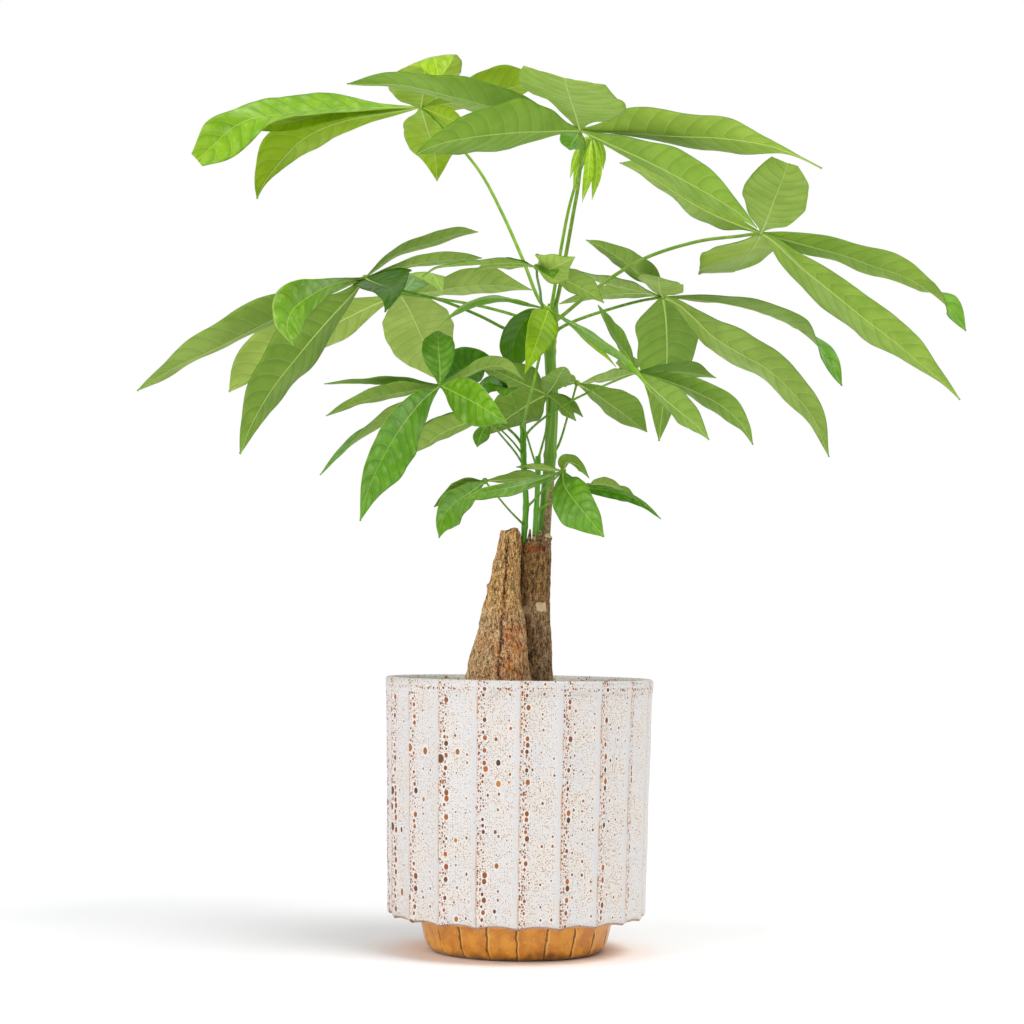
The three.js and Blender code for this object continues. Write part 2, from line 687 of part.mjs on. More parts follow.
// ---------------------------------------------------------------- finishes
const GLAZE = { color: 0xe4dcd3, roughness: 0.35, metalness: 0 };
const EARTH = { color: 0x3a2c22, roughness: 1, metalness: 0 };
const BARK_TAN = { color: 0x8a6a45, roughness: 0.95, metalness: 0 };
const BARK_BROWN = { color: 0x6f5138, roughness: 0.95, metalness: 0 };
const GREEN_STEM = { color: 0x4f8a35, roughness: 0.6, metalness: 0 };
const GREEN_CROWN = { color: 0x8db657, roughness: 0.6, metalness: 0 };
const GREEN_LEAF = { color: 0x6fa23f, roughness: 0.6, metalness: 0 };
const GREEN_YOUNG = { color: 0x84bf1c, roughness: 0.5, metalness: 0 };

const FINISHES = {
  leaf_crown_front: GREEN_CROWN,
  leaf_crown_right: GREEN_CROWN,
  leaf_crown_left: GREEN_CROWN,
  leaf_crown_young: GREEN_YOUNG,
  leaf_bright_young: GREEN_YOUNG,
};

const moneyTree = new THREE.Group();

function place(name, solid, finish) {
  const mesh = new THREE.Mesh(toGeometry(solid), new THREE.MeshStandardMaterial(finish));
  mesh.name = name;
  moneyTree.add(mesh);
}

const leftTrunk = trunk(LEFT_TRUNK, 0.4, 0);
const leftTrunkRoom = trunk(LEFT_TRUNK, 0.4, FIT_GAP);
const rightTrunk = trunk(RIGHT_TRUNK, 2.1, 0);
const rightTrunkRoom = trunk(RIGHT_TRUNK, 2.1, FIT_GAP);
let rightTrunkCut = rightTrunk.subtract(leftTrunkRoom);
let leftTrunkCut = leftTrunk;
Object.entries(STEMS).forEach(([name, sizes]) => {
  rightTrunkCut = rightTrunkCut.subtract(stem(sizes, FIT_GAP));
  leftTrunkCut = leftTrunkCut.subtract(stem(sizes, FIT_GAP));
  place(name, stem(sizes, 0), GREEN_STEM);
});

place('planter', planter(), GLAZE);
place('soil', soil().subtract(leftTrunkRoom).subtract(rightTrunkRoom), EARTH);
place('trunk_left', leftTrunkCut, BARK_TAN);
place('trunk_right', rightTrunkCut, BARK_BROWN);

Object.entries(LEAVES).forEach(([name, sizes]) => {
  const seat = stem(STEMS[sizes.stem], FIT_GAP);
  place(name, leaf(sizes).subtract(seat), FINISHES[name] ?? GREEN_LEAF);
});

export default moneyTree;
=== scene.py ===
"""A potted money tree (Pachira) in a fluted stoneware planter, dressed for a studio picture.

Everything is in metres: +Z is up, the front looks along -Y, and the origin is the middle of the
planter's underside. Each sub-assembly is a class whose fields are its sizes, and each finish is a
class whose fields are its colours and grain.
"""

from __future__ import annotations

import logging
import math
import random
from collections.abc import Callable, Iterable, Sequence
from dataclasses import dataclass
from enum import Enum
from functools import partial

import bmesh
import bpy
from bmesh.types import BMesh, BMVert
from bpy.types import Material, Node, NodeSocket, NodeTree, Object
from mathutils import Matrix, Quaternion, Vector, noise

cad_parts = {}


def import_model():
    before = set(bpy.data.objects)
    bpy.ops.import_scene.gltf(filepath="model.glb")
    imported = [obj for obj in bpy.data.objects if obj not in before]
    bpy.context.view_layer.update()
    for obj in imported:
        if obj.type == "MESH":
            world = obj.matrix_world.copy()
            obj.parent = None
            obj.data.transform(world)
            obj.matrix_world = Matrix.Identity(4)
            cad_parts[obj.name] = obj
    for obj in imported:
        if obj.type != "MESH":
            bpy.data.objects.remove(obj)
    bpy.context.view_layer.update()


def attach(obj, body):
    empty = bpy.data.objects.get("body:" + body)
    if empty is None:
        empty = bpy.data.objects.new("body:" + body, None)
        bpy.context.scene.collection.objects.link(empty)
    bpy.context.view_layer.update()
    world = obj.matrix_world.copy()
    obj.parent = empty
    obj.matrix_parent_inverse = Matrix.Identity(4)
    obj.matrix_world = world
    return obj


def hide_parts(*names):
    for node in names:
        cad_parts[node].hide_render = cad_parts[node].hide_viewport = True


LOG = logging.getLogger("money_tree")
MM = 0.001
BODY = "root"  # nothing moves, so every piece rides on the one body

# values that a mesh's corners carry, which its finish reads
BLADE_LAYERS = ("vein", "reach", "along", "across", "tone")
BARK_LAYERS = ("relief", "rust", "bare", "olive")
RIND_LAYERS = ("strand", "bark")

Point = tuple[float, float, float]
Profile = tuple[float, ...]
Feed = Node | NodeSocket | Sequence[float] | float | str  # what a node's input takes
Frame = tuple[Vector, Vector, Vector]  # a point of a curve and two directions across it


class Slot(Enum):
    """The record's material slots, which the trunks and the leaf finishes name."""

    PLANTER = "planter_glaze"
    SOIL = "soil"
    BARK_TAN = "bark_tan"
    BARK_BROWN = "bark_brown"
    GREEN_STEM = "green_stem"
    CROWN_LEAF = "crown_leaf"
    YOUNG_LEAF = "young_leaf"
    GREEN_LEAF = "green_leaf"


class Face(Enum):
    """The face of a leaflet that looks towards the eye."""

    UNDER = "under"
    UPPER = "upper"


# ---------------------------------------------------------------- small helpers
def linear(shade: str) -> tuple[float, float, float, float]:
    """Turns an sRGB hex colour into the linear values that shaders take.

    Args:
        shade: The colour as "#RRGGBB".

    Returns:
        Red, green, blue and alpha.
    """
    channels = []
    for start in (1, 3, 5):
        value = int(shade[start : start + 2], 16) / 255
        channels.append(value / 12.92 if value <= 0.04045 else ((value + 0.055) / 1.055) ** 2.4)
    return (channels[0], channels[1], channels[2], 1.0)


MODES = {"MapRange": "interpolation_type", "Mix": "data_type"}  # what a kind of node calls its mode
SOCKETS = {"Mix RGBA": (0, 6, 7)}  # the share and the two colours, past the sockets of other modes


def feed(tree: NodeTree, node: Node, inputs: dict[str | int, Feed]) -> None:
    """Links or sets a node's inputs.

    Args:
        tree: The node tree of a material or the world.
        node: The node.
        inputs: What feeds each input: a value, an sRGB hex colour, a socket, or a node, which gives
            its first output in use.
    """
    for key, source in inputs.items():
        if isinstance(source, Node):
            source = next(socket for socket in source.outputs if socket.enabled)
        if isinstance(source, NodeSocket):
            tree.links.new(source, node.inputs[key])
        else:
            node.inputs[key].default_value = linear(source) if isinstance(source, str) else source


def add_node(
    tree: NodeTree,
    kind: str,
    inputs: dict[str | int, Feed] | Sequence[Feed] = (),
    **settings: object,
) -> Node:
    """Adds a shader node with its settings and links.

    Args:
        tree: The node tree of a material or the world.
        kind: The node's type without "ShaderNode", and its mode if it has one: "Math ADD".
        inputs: What feeds each input, as feed takes it, by name or number or simply in order.
        settings: The node's own properties; stops gives a colour ramp's places and colours.

    Returns:
        The new node.
    """
    plain, _, mode = kind.partition(" ")
    node = tree.nodes.new("ShaderNode" + plain)
    if mode:
        setattr(node, MODES.get(plain, "operation"), mode)
    stops = settings.pop("stops", ())
    for name, value in settings.items():
        setattr(node, name, value)
    if not isinstance(inputs, dict):
        inputs = dict(zip(SOCKETS.get(kind, range(len(inputs))), inputs))
    feed(tree, node, inputs)
    if stops:
        elements = node.color_ramp.elements
        while len(elements) < len(stops):
            elements.new(1.0)
        for element, (place, shade) in zip(elements, stops):
            element.position = place
            element.color = linear(shade)
    return node


def smooth(low: float, high: float, value: float) -> float:
    """Rises smoothly from 0 at low to 1 at high."""
    share = min(max((value - low) / (high - low), 0.0), 1.0)
    return share * share * (3 - 2 * share)


def mix(start: float, end: float, share: float) -> float:
    """Returns the value that lies the share of the way from start to end."""
    return start + (end - start) * share


def steps_of(values: Sequence[float], along: float) -> float:
    """Reads evenly spaced values as straight stretches.

    Args:
        values: The values from 0 to 1 along.
        along: The place to read, 0 to 1.

    Returns:
        The value there.
    """
    place = min(max(along, 0.0), 1.0) * (len(values) - 1)
    index = min(int(place), len(values) - 2)
    return mix(values[index], values[index + 1], place - index)


def curve_of(values: Sequence[float], along: float) -> float:
    """Reads evenly spaced values as one smooth curve, as steps_of reads them straight.

    Args:
        values: The values from 0 to 1 along.
        along: The place to read, 0 to 1.

    Returns:
        The value there.
    """
    place = min(max(along, 0.0), 1.0) * (len(values) - 1)
    index = min(int(place), len(values) - 2)
    share = place - index
    one, two = values[index], values[index + 1]
    before = values[index - 1] if index else 2 * one - two
    after = values[index + 2] if index + 2 < len(values) else 2 * two - one
    lead = (two - before) / 2
    trail = (after - one) / 2
    turn = 3 * (two - one) - 2 * lead - trail
    return one + share * (lead + share * (turn + share * (lead + trail - 2 * (two - one))))


@dataclass(frozen=True)
class SightGrid:
    """Sets points out by lines of sight, the way that the plant was surveyed.

    A point is [column, row, depth]: squares across and down on a grid held square to the line of
    sight through the planter's axis, and millimetres behind that grid.
    """

    square: float = 0.6 * MM
    middle: float = 512
    distance: float = 1440 * MM
    pitch: float = 2.67  # degrees that the line of sight rises
    roll: float = 0.8  # degrees that the grid leans
    eye: Point = (-5.9 * MM, -1440 * MM, 194 * MM)

    def turn(self) -> Matrix:
        """Returns the grid's own turn: across is X, away is Y and up is Z."""
        pitch = Matrix.Rotation(math.radians(self.pitch), 3, "X")
        return pitch @ Matrix.Rotation(-math.radians(self.roll), 3, "Y")

    def point(self, place: Point) -> Vector:
        """Gives the point at a column, row and depth.

        Args:
            place: Column, row and depth in millimetres.

        Returns:
            The point in metres.
        """
        column, row, depth = place
        across, up = (column - self.middle) * self.square, (self.middle - row) * self.square
        ray = Vector((across, self.distance, up))
        return Vector(self.eye) + self.turn() @ ray * (1 + depth * MM / self.distance)

    def seen(self, point: Vector) -> tuple[float, float]:
        """Gives the column and row at which a point is seen.

        Args:
            point: The point in metres.

        Returns:
            Its column and row.
        """
        local = self.turn().transposed() @ (point - Vector(self.eye))
        scale = self.distance / (local.y * self.square)
        return self.middle + local.x * scale, self.middle - local.z * scale


GRID = SightGrid()


class Spline:
    """A centripetal Catmull-Rom curve through its points, walked by its length."""

    STEPS = 160
    START = Vector((0.31, 0.87, 0.38))  # crossed with the first heading, it gives the first side

    def __init__(self, points: Sequence[Vector]) -> None:
        """Measures the curve and carries a cross direction along it.

        Args:
            points: Three or more points in order.
        """
        self.knots = [p.copy() for p in points]
        self.walk = [self._raw(i / self.STEPS) for i in range(self.STEPS + 1)]
        self.reach = [0.0]
        for one, two in zip(self.walk, self.walk[1:]):
            self.reach.append(self.reach[-1] + (two - one).length)
        self.length = self.reach[-1]
        heading = (self.walk[1] - self.walk[0]).normalized()
        across = heading.cross(self.START).normalized()
        self.sides = [across]
        for one, two in zip(self.walk, self.walk[1:]):
            heading = (two - one).normalized()
            across = (across - heading * across.dot(heading)).normalized()
            self.sides.append(across)

    def _raw(self, share: float) -> Vector:
        """Gives the curve's point at a share of its knots.

        Args:
            share: Share of the way through the knots, 0 to 1.

        Returns:
            The point.
        """
        knots = self.knots
        place = share * (len(knots) - 1)
        index = min(int(place), len(knots) - 2)
        part = place - index
        one, two = knots[index], knots[index + 1]
        before = knots[index - 1] if index else one * 2 - two
        after = knots[index + 2] if index + 2 < len(knots) else two * 2 - one
        gap_in = (one - before).length ** 0.5
        gap = (two - one).length ** 0.5
        gap_out = (after - two).length ** 0.5
        lead = ((one - before) / gap_in - (two - before) / (gap_in + gap) + (two - one) / gap) * gap
        trail = ((two - one) / gap - (after - one) / (gap + gap_out) + (after - two) / gap_out) * gap
        bend = (two - one) * 3 - lead * 2 - trail
        twist = (one - two) * 2 + lead + trail
        return one + lead * part + bend * part**2 + twist * part**3

    def _index(self, along: float) -> tuple[int, float]:
        """Finds the step at a share of the length, and the share within it.

        Args:
            along: Share of the length, 0 to 1.

        Returns:
            The step's number and the share within it.
        """
        target = min(max(along, 0.0), 1.0) * self.length
        low, high = 0, self.STEPS
        while high - low > 1:
            middle = (low + high) // 2
            if self.reach[middle] <= target:
                low = middle
            else:
                high = middle
        return low, (target - self.reach[low]) / max(self.reach[low + 1] - self.reach[low], 1e-9)

    def point(self, along: float) -> Vector:
        """Gives the point at a share of the curve's length."""
        index, share = self._index(along)
        return self.walk[index].lerp(self.walk[index + 1], share)

    def tangent(self, along: float) -> Vector:
        """Gives the curve's direction at a share of its length."""
        step = 0.004
        return (self.point(min(along + step, 1)) - self.point(max(along - step, 0))).normalized()

    def frame(self, along: float) -> Frame:
        """Gives the point and two cross directions at a share of the length.

        Args:
            along: Share of the length, 0 to 1.

        Returns:
            The point and the two directions.
        """
        index, share = self._index(along)
        tangent = self.tangent(along)
        side = self.sides[index].lerp(self.sides[index + 1], share)
        side = (side - tangent * side.dot(tangent)).normalized()
        return self.point(along), side, tangent.cross(side)


def add_rod(
    bm: BMesh, sides: int, rows: int, place: Callable[[float, float], Vector], material: int = 0
) -> list[BMVert]:
    """Adds a closed rod: a straight one is cut into rows and each corner is put in its place.

    Args:
        bm: The mesh to add to.
        sides: Corners round the rod.
        rows: Rows along the rod.
        place: Gives a corner's point from its share along the rod and its angle round it.
        material: The number of the rod's material.

    Returns:
        The rod's corners; each keeps its place along in the layer "along".
    """
    for corner in bm.verts:
        corner.tag = True
    made = bmesh.ops.create_cone(
        bm, cap_ends=True, cap_tris=False, segments=sides, radius1=1, radius2=1, depth=1
    )
    edges = dict.fromkeys(edge for corner in made["verts"] for edge in corner.link_edges)
    upright = [edge for edge in edges if abs(edge.verts[0].co.z - edge.verts[1].co.z) > 0.5]
    bmesh.ops.subdivide_edges(bm, edges=upright, cuts=rows - 1)
    corners = [corner for corner in bm.verts if not corner.tag]
    layer = bm.verts.layers.float["along"]
    for corner in corners:
        along = corner.co.z + 0.5
        corner[layer] = along
        corner.co = place(along, math.atan2(corner.co.y, corner.co.x))
    for face in dict.fromkeys(face for corner in corners for face in corner.link_faces):
        face.material_index = material
        face.smooth = True
    return corners


def new_bmesh(layers: Iterable[str]) -> BMesh:
    """Starts a mesh whose corners carry the named values.

    Args:
        layers: The values' names.

    Returns:
        The empty mesh.
    """
    bm = bmesh.new()
    for name in layers:
        bm.verts.layers.float.new(name)
    return bm


def turn_round(bm: BMesh, corners: Sequence[BMVert], steps: int) -> None:
    """Turns a section, from axis to axis, into a closed body.

    Args:
        bm: The mesh that holds the section.
        corners: The section's corners in order.
        steps: Steps round the axis.
    """
    edges = [bm.edges.new(pair) for pair in zip(corners, corners[1:])]
    bmesh.ops.spin(
        bm, geom=[*corners, *edges], cent=(0, 0, 0), axis=(0, 0, 1), dvec=(0, 0, 0), angle=math.tau,
        steps=steps, use_merge=True, use_duplicate=False,
    )
    bmesh.ops.remove_doubles(bm, verts=bm.verts, dist=0.01 * MM)


def make_piece(bm: BMesh, name: str, node: str, finishes: Sequence[Finish]) -> Object:
    """Turns a mesh into a piece of the part, in place of its plain solid.

    Args:
        bm: The finished mesh, which is freed.
        name: The piece's name.
        node: The plain solid that the piece stands for.
        finishes: One finish for each material number.

    Returns:
        The new object, with its place in its mesh.
    """
    mesh = bpy.data.meshes.new(name)
    bm.to_mesh(mesh)
    bm.free()
    for finish in finishes:
        mesh.materials.append(finish.material())
    piece = bpy.data.objects.new(name, mesh)
    bpy.context.scene.collection.objects.link(piece)
    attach(piece, BODY)
    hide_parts(node)
    return piece


# ---------------------------------------------------------------- finishes
@dataclass(frozen=True)
class Finish:
    """A finish that makes its material the first time that it is asked for."""

    name: str

    def material(self) -> Material:
        """Makes the finish's material, or finds the one already made.

        Returns:
            The material.
        """
        made = bpy.data.materials.get(self.name)
        if made is None:
            made = bpy.data.materials.new(self.name)
            made.use_nodes = True
            tree = made.node_tree
            tree.nodes.clear()
            shader = add_node(tree, "BsdfPrincipled")
            add_node(tree, "OutputMaterial", {"Surface": shader})
            self.paint(tree, shader)
        return made

    def paint(self, tree: NodeTree, shader: Node) -> None:
        """Gives the shader its colours and grain."""
        raise NotImplementedError


@dataclass(frozen=True)
class LeafTissue(Finish):
    """One face of a living leaf: waxy cuticle over green flesh, netted with paler veins.

    The underside is matt and its veins stand up a little; the upper face is glossy, its veins are
    sunk and the flesh swells between them, so the sheen breaks into patches, with pale patches of
    painted highlight over the swollen flesh. Painted shade deepens the flesh beside each side vein,
    and each blade is made paler or darker, partly its own colour and partly painted light and shade.
    """

    flesh: str = "#8DB657"
    deep: str = "#76A447"
    vein: str = "#B9D58A"
    roughness: float = 0.55
    coat: float = 0.0
    vein_show: float = 0.4
    raised: float = 1.0  # 1 where the veins stand up, -1 where they are sunk
    gleam: float = 0.0  # strength of the painted highlight where crinkles would catch the light
    sheen: str = "#C6E28A"  # colour of that painted highlight
    # size of the patches of painted highlight
    crinkle_gleam: float = 5 * MM
    rib_half: float = 0.4 * MM
    ladder_gap: float = 1.5 * MM  # between the fine cross veins

    def paint(self, tree: NodeTree, shader: Node) -> None:
        """Paints the flesh, its mottling, painted shade and highlights, the veins and the margin.

        Args:
            tree: The material's nodes.
            shader: Its shader.
        """
        add = partial(add_node, tree)
        place = add("TexCoord").outputs["Object"]
        vein, reach, along, across, tone = (
            add("Attribute", attribute_name=name).outputs["Fac"] for name in BLADE_LAYERS
        )
        cloud = add("TexNoise", {"Vector": place, "Scale": 1 / (16 * MM), "Detail": 3.0})
        grain = add("TexNoise", {"Vector": place, "Scale": 1 / (1.6 * MM), "Detail": 1.0})
        mottle = add("MapRange SMOOTHSTEP", (cloud, 0.35, 0.7, 0.0, 0.6))
        flesh = add("Mix RGBA", (mottle, self.flesh, self.deep))
        speck = add("MapRange SMOOTHSTEP", (grain, 0.35, 0.7, 0.0, 0.18))
        flesh = add("Mix RGBA", (speck, flesh, self.deep))
        # painted shade: each stretch of flesh between two side veins is deeper beside the lower vein and
        # pales towards the next
        painted_field_shade = add("Math FRACT", (vein,))
        painted_field_shade = add("MapRange SMOOTHSTEP", (painted_field_shade, 0.0, 0.55, 0.6, 0.0))
        flesh = add("Mix RGBA", (painted_field_shade, flesh, self.deep))
        # fine veins that cross from one side vein to the next
        rung = add("Math MULTIPLY", (reach, 1 / self.ladder_gap))
        rung = add("Math MULTIPLY_ADD", (grain, 0.6, rung))
        rung = add("Math PINGPONG", (rung, 0.5))
        rung = add("MapRange SMOOTHSTEP", (rung, 0.0, 0.25, 0.06, 0.0))
        flesh = add("Mix RGBA", (rung, flesh, self.vein))
        # side veins, which fade into the margin
        margin = add("Math ABSOLUTE", (across,))
        fade = add("MapRange SMOOTHSTEP", (margin, 0.6, 0.98, 1.0, 0.15))
        off_vein = add("Math PINGPONG", (vein, 0.5))
        line = add("MapRange SMOOTHSTEP", (off_vein, 0.012, 0.05, 1.0, 0.0))
        line = add("Math MULTIPLY", (line, fade))
        # painted highlight: pale patches on the swollen flesh between the veins, where crinkles would catch
        # the light
        crinkle_gleam = add("TexNoise", {"Vector": place, "Scale": 1 / self.crinkle_gleam, "Detail": 1.0})
        crinkle_gleam = add("MapRange SMOOTHSTEP", (crinkle_gleam, 0.4, 0.75, 0.0, self.gleam))
        swollen = add("MapRange SMOOTHSTEP", (off_vein, 0.08, 0.3))
        crinkle_gleam = add("Math MULTIPLY", (crinkle_gleam, swollen))
        flesh = add("Mix RGBA", (crinkle_gleam, flesh, self.sheen))
        show = add("Math MULTIPLY", (line, self.vein_show))
        flesh = add("Mix RGBA", (show, flesh, self.vein))
        # the midrib narrows towards the tip
        width = add("MapRange", (along, 0.0, 1.0, self.rib_half, 0.3 * self.rib_half))
        rib = add("Math ABSOLUTE", (reach,))
        rib = add("Math DIVIDE", (rib, width))
        rib = add("MapRange SMOOTHSTEP", (rib, 0.5, 1.5, 0.8, 0.0))
        flesh = add("Mix RGBA", (rib, flesh, self.vein))
        edge = add("MapRange SMOOTHSTEP", (margin, 0.95, 0.995, 0.0, 0.35))
        flesh = add("Mix RGBA", (edge, flesh, self.deep))
        # each blade is made paler or darker and its hue shifted: partly its own colour, partly painted
        # light and shade
        light = add("Math MULTIPLY_ADD", (tone, 0.36, 1.0))
        dark = add("Math MINIMUM", (tone, 0.0))
        hue = add("Math MAXIMUM", (tone, -0.4))
        hue = add("Math MULTIPLY_ADD", (hue, -0.026, 0.5))
        rich = add("Math MULTIPLY_ADD", (dark, -0.12, 1.0))
        feeds = {"Hue": hue, "Saturation": rich, "Value": light, "Color": flesh}
        dyed = add("HueSaturation", feeds)
        height = add("Math ADD", (line, rib))
        height = add("Math MULTIPLY", (height, 0.6 * self.raised))
        height = add("Math MULTIPLY_ADD", (grain, 0.15, height))
        bump = add("Bump", {"Height": height, "Strength": 0.4, "Distance": 0.25 * MM})
        shine = add("MapRange", (cloud, 0.3, 0.7, self.roughness - 0.05, self.roughness + 0.08))
        feed(tree, shader, {
            "Base Color": dyed, "Normal": bump, "Roughness": shine, "Specular IOR Level": 0.2,
            "Coat Weight": self.coat, "Coat Roughness": 0.25, "IOR": 1.45,
        })


@dataclass(frozen=True)
class GreenRind(Finish):
    """Smooth green rind of a shoot or leaf stalk: waxy, with paler strands along it.

    Corky flecks dull it, and brown bark climbs from its foot where the mesh says so.
    """

    rind: str = "#5F8F2A"
    strand: str = "#8DB04C"
    cork: str = "#8A7350"
    bark: str = "#5B452C"
    cork_share: float = 0.15
    roughness: float = 0.45

    def paint(self, tree: NodeTree, shader: Node) -> None:
        """Paints the strands, the corky flecks and the bark that climbs from the foot.

        Args:
            tree: The material's nodes.
            shader: Its shader.
        """
        add = partial(add_node, tree)
        place = add("TexCoord").outputs["Object"]
        strand, climb = (
            add("Attribute", attribute_name=name).outputs["Fac"] for name in RIND_LAYERS
        )
        grain = add("TexNoise", {"Vector": place, "Scale": 1 / (1.1 * MM), "Detail": 3.0})
        streak = add("MapRange SMOOTHSTEP", (strand, 0.35, 0.75, 0.0, 0.6))
        base = add("Mix RGBA", (streak, self.rind, self.strand))
        fleck = add("MapRange", (grain, 0.6, 0.72, 0.0, self.cork_share))
        base = add("Mix RGBA", (fleck, base, self.cork))
        flake = add("MapRange SMOOTHSTEP", (grain, 0.35, 0.65))
        brown = add("Mix RGBA", (flake, self.bark, self.cork))
        ragged = add("Math MULTIPLY_ADD", (grain, 0.3, climb))
        ragged = add("MapRange SMOOTHSTEP", (ragged, 0.45, 0.75))
        base = add("Mix RGBA", (ragged, base, brown))
        bump = add("Bump", {"Height": grain, "Strength": 0.35, "Distance": 0.2 * MM})
        feed(tree, shader, {
            "Base Color": base, "Normal": bump, "Roughness": self.roughness,
            "Specular IOR Level": 0.25, "IOR": 1.45,
        })


@dataclass(frozen=True)
class Bark(Finish):
    """Dry, fibrous bark in upright strands: dark in the cracks, partly painted shade, worn pale on the
    ridges, matt.
    """

    crack: str = "#33231A"
    shade: str = "#8E6A46"
    ridge: str = "#C8A070"
    worn: str = "#F2D8A6"
    rust: str = "#C4652C"
    olive: str = "#B4A67A"
    wood: str = "#E6D2A4"
    strand: float = 0.62 * MM
    chip: float = 1.5 * MM

    def paint(self, tree: NodeTree, shader: Node) -> None:
        """Paints cracks and ridges by their height, the cracks partly in painted shade, then the olive,
        rusty and bare patches.

        Args:
            tree: The material's nodes.
            shader: Its shader.
        """
        add = partial(add_node, tree)
        place = add("TexCoord").outputs["Object"]
        relief, rust, bare, olive = (
            add("Attribute", attribute_name=name).outputs["Fac"] for name in BARK_LAYERS
        )
        upright = add("Mapping", {"Vector": place, "Scale": (1.0, 1.0, 0.27)})
        feeds = {"Vector": upright, "Scale": 1 / self.strand, "Detail": 2.0, "Distortion": 1.8}
        fibre = add("TexNoise", feeds)
        feeds = {"Vector": place, "Scale": (1.0, 1.0, 0.45), "Rotation": (0.2, 0.3, 0)}
        slanted = add("Mapping", feeds)
        chips = add("TexNoise", {"Vector": slanted, "Scale": 1 / self.chip, "Detail": 4.0})
        height = add("Math MULTIPLY_ADD", (fibre, 1.0, -0.31))
        height = add("Math MULTIPLY_ADD", (chips, 0.45, height))
        height = add("Math MULTIPLY_ADD", (relief, 0.2, height))
        # the ramp darkens the low strands and cracks, partly the bark's own colour and partly painted shade
        stops = ((0.35, self.crack), (0.44, self.shade), (0.54, self.ridge), (0.66, self.worn))
        base = add("ValToRGB", (height,), stops=stops)
        base = add("Mix RGBA", (olive, base, self.olive), blend_type="SOFT_LIGHT")
        cloud = add("TexNoise", {"Vector": place, "Scale": 1 / (7 * MM), "Detail": 3.0})
        drift = add("MapRange SMOOTHSTEP", (cloud, 0.42, 0.66))
        warm = add("MapRange", (drift, 0.0, 1.0, 0.0, 0.3))
        patchy = add("MapRange", (drift, 0.0, 1.0, 0.45, 1.0))
        patchy = add("Math MULTIPLY", (patchy, rust))
        warm = add("Math MAXIMUM", (warm, patchy))
        red = add("Mix RGBA", (0.75, base, self.rust), blend_type="OVERLAY")
        base = add("Mix RGBA", (warm, base, red))
        cut = add("MapRange SMOOTHSTEP", (fibre, 0.35, 0.65))
        cut = add("Mix RGBA", (cut, self.wood, self.worn))
        torn = add("Math MULTIPLY_ADD", (chips, 1.8, bare))
        torn = add("MapRange SMOOTHSTEP", (torn, 1.5, 1.64))
        base = add("Mix RGBA", (torn, base, cut))
        bump = add("Bump", {"Height": height, "Strength": 0.8, "Distance": 1.0 * MM})
        feed(tree, shader, {
            "Base Color": base, "Normal": bump, "Roughness": 0.85, "Specular IOR Level": 0.25,
        })


@dataclass(frozen=True)
class Earth(Finish):
    """Damp peat-based potting soil: near black, matt and crumbly, with brown fibres."""

    peat: str = "#2A1E16"
    crumb: str = "#5A4230"
    grain: float = 1.6 * MM

    def paint(self, tree: NodeTree, shader: Node) -> None:
        """Paints the crumbs and their rough surface.

        Args:
            tree: The material's nodes.
            shader: Its shader.
        """
        add = partial(add_node, tree)
        place = add("TexCoord").outputs["Object"]
        crumbs = add("TexNoise", {"Vector": place, "Scale": 1 / self.grain, "Detail": 5.0})
        share = add("MapRange SMOOTHSTEP", (crumbs, 0.45, 0.7))
        base = add("Mix RGBA", (share, self.peat, self.crumb))
        bump = add("Bump", {"Height": crumbs, "Strength": 1.0, "Distance": 1.2 * MM})
        feed(tree, shader, {"Base Color": base, "Normal": bump, "Roughness": 0.95})


@dataclass(frozen=True)
class Pinholes:
    """One size of the pinholes that gas bursts through a glaze, set out in cells of its chart.

    The chart counts flutes across and flute widths up from the lower edge.
    """

    cell: tuple[float, float]  # one pinhole's own patch, across and up
    start: tuple[float, float]  # where the patches start
    stray: float  # how far a pinhole strays over its patch, 0 to 1
    radius: float  # of the largest, in flute widths
    empty: float  # share of the patches left empty
    shades: tuple[tuple[float, str], ...]  # a ramp of colours for the dice
    ring: float  # how strongly the pale ring round each shows
    halo: float = 1.9  # reach of the ring, in radii

    def dress(
        self, tree: NodeTree, chart: Node, mask: Feed, base: Feed, halo: str
    ) -> tuple[Node, Node]:
        """Paints the pinholes, each with a pale ring where the glaze drew back.

        Args:
            tree: The material's nodes.
            chart: The chart's coordinates.
            mask: How large they grow from place to place, 0 to 1.
            base: The colour under them.
            halo: The ring's colour.

        Returns:
            The colour with the pinholes on it, and where they are.
        """
        add = partial(add_node, tree)
        across, up = self.cell
        grid = add("VectorMath SUBTRACT", (chart, (*self.start, 0)))
        grid = add("VectorMath MULTIPLY", (grid, (1 / across, 1 / up, 0)))
        feeds = {"Vector": grid, "Scale": 1.0, "Randomness": self.stray}
        cells = add("TexVoronoi", feeds, voronoi_dimensions="2D")
        off = add("VectorMath SUBTRACT", (grid, cells.outputs["Position"]))
        off = add("VectorMath MULTIPLY", (off, (across, 0.78 * up, 0)))
        off = add("VectorMath LENGTH", (off,))
        dice = add("SeparateColor", {0: cells.outputs["Color"]})
        size = add("MapRange", (dice.outputs[0], self.empty, 1.0))
        size = add("Math MULTIPLY", (size, mask))
        size = add("Math MULTIPLY", (size, self.radius))
        size = add("Math MAXIMUM", (size, 1e-4))
        share = add("Math DIVIDE", (off, size))
        hole = add("MapRange SMOOTHSTEP", (share, 0.8, 1.15, 1.0, 0.0))
        ring = add("MapRange SMOOTHSTEP", (share, 1.0, self.halo, self.ring, 0.0))
        shade = add("ValToRGB", {"Fac": dice.outputs[1]}, stops=self.shades)
        base = add("Mix RGBA", (ring, base, halo))
        base = add("Mix RGBA", (hole, base, shade))
        return base, hole


